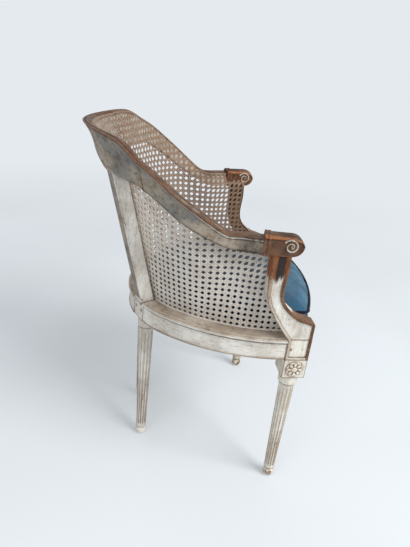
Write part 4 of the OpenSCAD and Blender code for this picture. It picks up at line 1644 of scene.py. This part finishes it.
@dataclass
class Joinery:
    """The CAD members that keep their own shape and get their finish here.

    Args:
        finishes: The chair's finishes.
    """

    finishes: Finishes

    def dress(self, node: str, material: bpy.types.Material) -> None:
        """Gives a CAD node its material."""
        mesh = FRAME["nodes"][node].data
        if not mesh.materials:
            mesh.materials.append(material)
        for k in range(len(mesh.materials)):
            mesh.materials[k] = material
        log.info("%s dressed", node)

    def smooth_copy(self, node: str, material: bpy.types.Material) -> None:
        """Stands a copy with smooth round parts in for a turned node."""
        bm = Maker.copy_node(node)
        obj = Maker.finish(bm, f"{node}_turned", [material], Body.FRAME, Slot.PAINT, 28.0)
        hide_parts(node)

    def rear_post(self, side: Side) -> None:
        """Builds a rear post: the turned leg and block, with the slim upright that leans above the seat."""
        p = PLAN
        node = f"rear_post_{side.word}"
        bm = Maker.copy_node(node)
        bmesh.ops.bisect_plane(bm, geom=bm.verts[:] + bm.edges[:] + bm.faces[:], dist=1e-6,
                               plane_co=(0, 0, p.rail_top - 0.0002), plane_no=(0, 0, 1), clear_outer=True)
        bmesh.ops.holes_fill(bm, edges=[e for e in bm.edges if e.is_boundary], sides=0)
        turn = p.stile_turn(side)
        c, fine = 0.0022, 0.0006
        rings: list[Ring] = []
        for z in steps(p.rail_top - 0.001, p.crest_low_z + 0.012, 34):
            r = p.back_r + p.shell(p.stile_a, z)
            h = p.stile_w / 2
            corners = [(-h, r - p.stile_d), (h, r - p.stile_d), (h, r - c - fine), (h - fine, r - c),
                       (h - c, r), (c - h, r), (fine - h, r - c), (-h, r - c - fine)]
            rings.append([turn @ Vector((side.value * (x + p.stile_shift), y, z)) for x, y in corners])
        Maker.skin(bm, rings, marks=lambda j, i: Marks(0.12 if i in (2, 3, 4, 5, 6, 7) else 0.0,
                                                       0.35 * ease((0.05, 0.0), j / 34), 0.0))
        # Outer faces of the upright above the seat take the darker grey crest finish: partly the post's own
        # grey wash, partly painted shade on the faces turned away from the key light
        outward = Vector((side.value * sind(p.stile_a), cosd(p.stile_a), 0))
        for face in bm.faces:
            face.normal_update()
            above = face.calc_center_median().z > p.rail_top
            face.material_index = int(above and face.normal.dot(outward) > 0.75)
        finishes = [self.finishes.post, self.finishes.crest]
        obj = Maker.finish(bm, f"{node}_turned", finishes, Body.FRAME, Slot.PAINT, 28.0)
        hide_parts(node)

    def support(self, side: Side) -> None:
        """Builds an arm support, slimmer on its inner side than the solid, with its neck further forward."""
        p = PLAN
        node = f"arm_support_{side.word}"
        bm = Maker.copy_node(node)
        inner = min(abs(v.co.x) for v in bm.verts)
        for v in bm.verts:
            if abs(v.co.x) < inner + 0.0005:
                v.co.x = side.value * (p.post_x - p.support_t)
            v.co.y, v.co.z = p.carve(v.co.y, v.co.z)
        for face in bm.faces:
            face.normal_update()
            face.material_index = int(face.normal.x * side.value < -0.7)
        finishes = [self.finishes.support, self.finishes.pad]
        obj = Maker.finish(bm, f"{node}_carved", finishes, Body.FRAME, Slot.PAINT, 28.0)
        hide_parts(node)

    def build(self) -> None:
        """Dresses every member."""
        f = self.finishes
        for side in Side:
            self.smooth_copy(f"front_leg_{side.word}", f.leg)
            self.rear_post(side)
            self.support(side)
            self.dress(f"seat_rail_{side.word}", f.rail)
        for node in ("seat_rail_front", "seat_rail_back"):
            self.dress(node, f.rail)
        for node in ("corner_blocks", "joint_pegs", "joint_dowels"):
            self.dress(node, f.oak)


# Stage


@dataclass(frozen=True)
class Studio:
    """Camera, light and floor.

    Args:
        azimuth: The camera's direction round the chair, in degrees.
        pitch: How far it looks down.
        roll: How far it is turned about its own axis.
        place: Where it stands.
        lens: Its focal length on a sensor 36 mm high.
        floor: Colour of the floor.
        pale: Colour of its lighter places.
        paper: Colour of the backdrop where it is seen.
        lift: Light that the floor gives back to the eye alone.
        reach: Distances from the chair's middle between which the floor turns into the backdrop.
        sky: Colour of the light all round.
        glow: Strength of that light.
    """

    azimuth: float = 260.2
    pitch: float = 25.9
    roll: float = 6.3
    place: tuple = (-1.141, 0.17455, 1.034)
    lens: float = 32.06
    floor: tuple = srgb(204, 209, 213)
    pale: tuple = srgb(219, 225, 230)
    paper: tuple = srgb(229, 234, 238)
    lift: float = 0.17
    reach: tuple = (1.2, 3.2)
    sky: tuple = srgb(240, 242, 244)
    glow: float = 0.62

    def camera(self) -> None:
        """Sets up the photograph's camera."""
        level = cosd(self.pitch)
        back = Vector((sind(self.azimuth) * level, -cosd(self.azimuth) * level, sind(self.pitch)))
        right = (-back).cross(Vector((0, 0, 1))).normalized()
        up = right.cross(-back)
        c, s = cosd(self.roll), sind(self.roll)
        axes = Matrix((c * right + s * up, -s * right + c * up, back)).transposed()
        data = bpy.data.cameras.new("photo_camera")
        data.sensor_fit = "VERTICAL"
        data.sensor_height = 36.0
        data.lens = self.lens
        data.clip_start = 0.05
        cam = bpy.data.objects.new("photo_camera", data)
        cam.matrix_world = Matrix.Translation(self.place) @ axes.to_4x4()
        bpy.context.scene.collection.objects.link(cam)
        bpy.context.scene.camera = cam

    def lamp(self, name: str, at: tuple, size: float, power: float, tone: tuple) -> None:
        """Places a square lamp that shines at the chair's middle."""
        data = bpy.data.lights.new(name, "AREA")
        data.shape, data.size, data.energy, data.color = "SQUARE", size, power, tone
        obj = bpy.data.objects.new(name, data)
        aim = Vector((0, 0, 0.45)) - Vector(at)
        obj.matrix_world = Matrix.Translation(at) @ aim.to_track_quat("-Z", "Y").to_matrix().to_4x4()
        bpy.context.scene.collection.objects.link(obj)

    def seen(self, b: Bench) -> bpy.types.NodeSocket:
        """Share of 1 on the rays that show the backdrop: the camera's, reflected and transmitted ones."""
        path = b.add("ShaderNodeLightPath")
        mirrored = b.math("MAXIMUM", path.outputs["Is Glossy Ray"], path.outputs["Is Transmission Ray"])
        return b.math("MAXIMUM", path.outputs["Is Camera Ray"], mirrored)

    def ground(self) -> None:
        """Lays the floor."""
        bm = bmesh.new()
        bmesh.ops.create_circle(bm, cap_ends=True, segments=96, radius=40.0)
        mesh = bpy.data.meshes.new("floor")
        bm.to_mesh(mesh)
        bm.free()
        obj = bpy.data.objects.new("floor", mesh)
        bpy.context.scene.collection.objects.link(obj)
        mat, b, shader = Bench.material("floor_paper")
        at = b.at()
        cloud = b.window(b.noise(at, 0.8, 2.0), 0.3, 0.7, 0.0, 0.5)
        b.feed(shader.inputs["Base Color"], b.blend(cloud, self.floor, self.pale))
        shader.inputs["Roughness"].default_value = 0.9
        shader.inputs["Specular IOR Level"].default_value = 0.1
        shader.inputs["Emission Color"].default_value = self.paper
        seen = self.seen(b)
        b.feed(shader.inputs["Emission Strength"], b.math("MULTIPLY", seen, self.lift))
        far = b.add("ShaderNodeEmission", {"Color": self.paper, "Strength": seen})
        reach = b.add("ShaderNodeVectorMath", {0: at}, operation="LENGTH").outputs["Value"]
        both = b.add("ShaderNodeMixShader", {0: b.window(reach, *self.reach), 1: shader.outputs[0],
                                             2: far.outputs[0]})
        b.feed(mat.node_tree.nodes["Material Output"].inputs["Surface"], both.outputs[0])
        mesh.materials.append(mat)

    def world(self) -> None:
        """Sets the light all round."""
        world = bpy.data.worlds.new("studio")
        world.use_nodes = True
        bpy.context.scene.world = world
        b = Bench(world.node_tree)
        shade = world.node_tree.nodes["Background"]
        seen = self.seen(b)
        b.feed(shade.inputs["Color"], b.blend(seen, self.sky, self.paper))
        b.feed(shade.inputs["Strength"], b.math("ADD", b.math("MULTIPLY", seen, 1 - self.glow), self.glow))

    def build(self) -> None:
        """Builds the stage."""
        self.camera()
        self.ground()
        self.world()
        self.lamp("key", at=(-3.0, -3.65, 4.6), size=3.4, power=300.0, tone=(1.0, 0.985, 0.96))
        self.lamp("fill", at=(-2.6, 1.6, 2.2), size=2.0, power=26.0, tone=(0.95, 0.98, 1.0))
        bpy.context.scene.view_settings.view_transform = "Standard"


def main() -> None:
    """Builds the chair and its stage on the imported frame."""
    logging.basicConfig(level=logging.INFO, format="%(message)s")
    FRAME.update(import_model())
    finishes = Finishes()
    for kind in (Joinery, Rails, Trim, CanePanels, SeatCushion):
        kind(finishes).build()
    Studio().build()


if __name__ == "__main__":
    main()
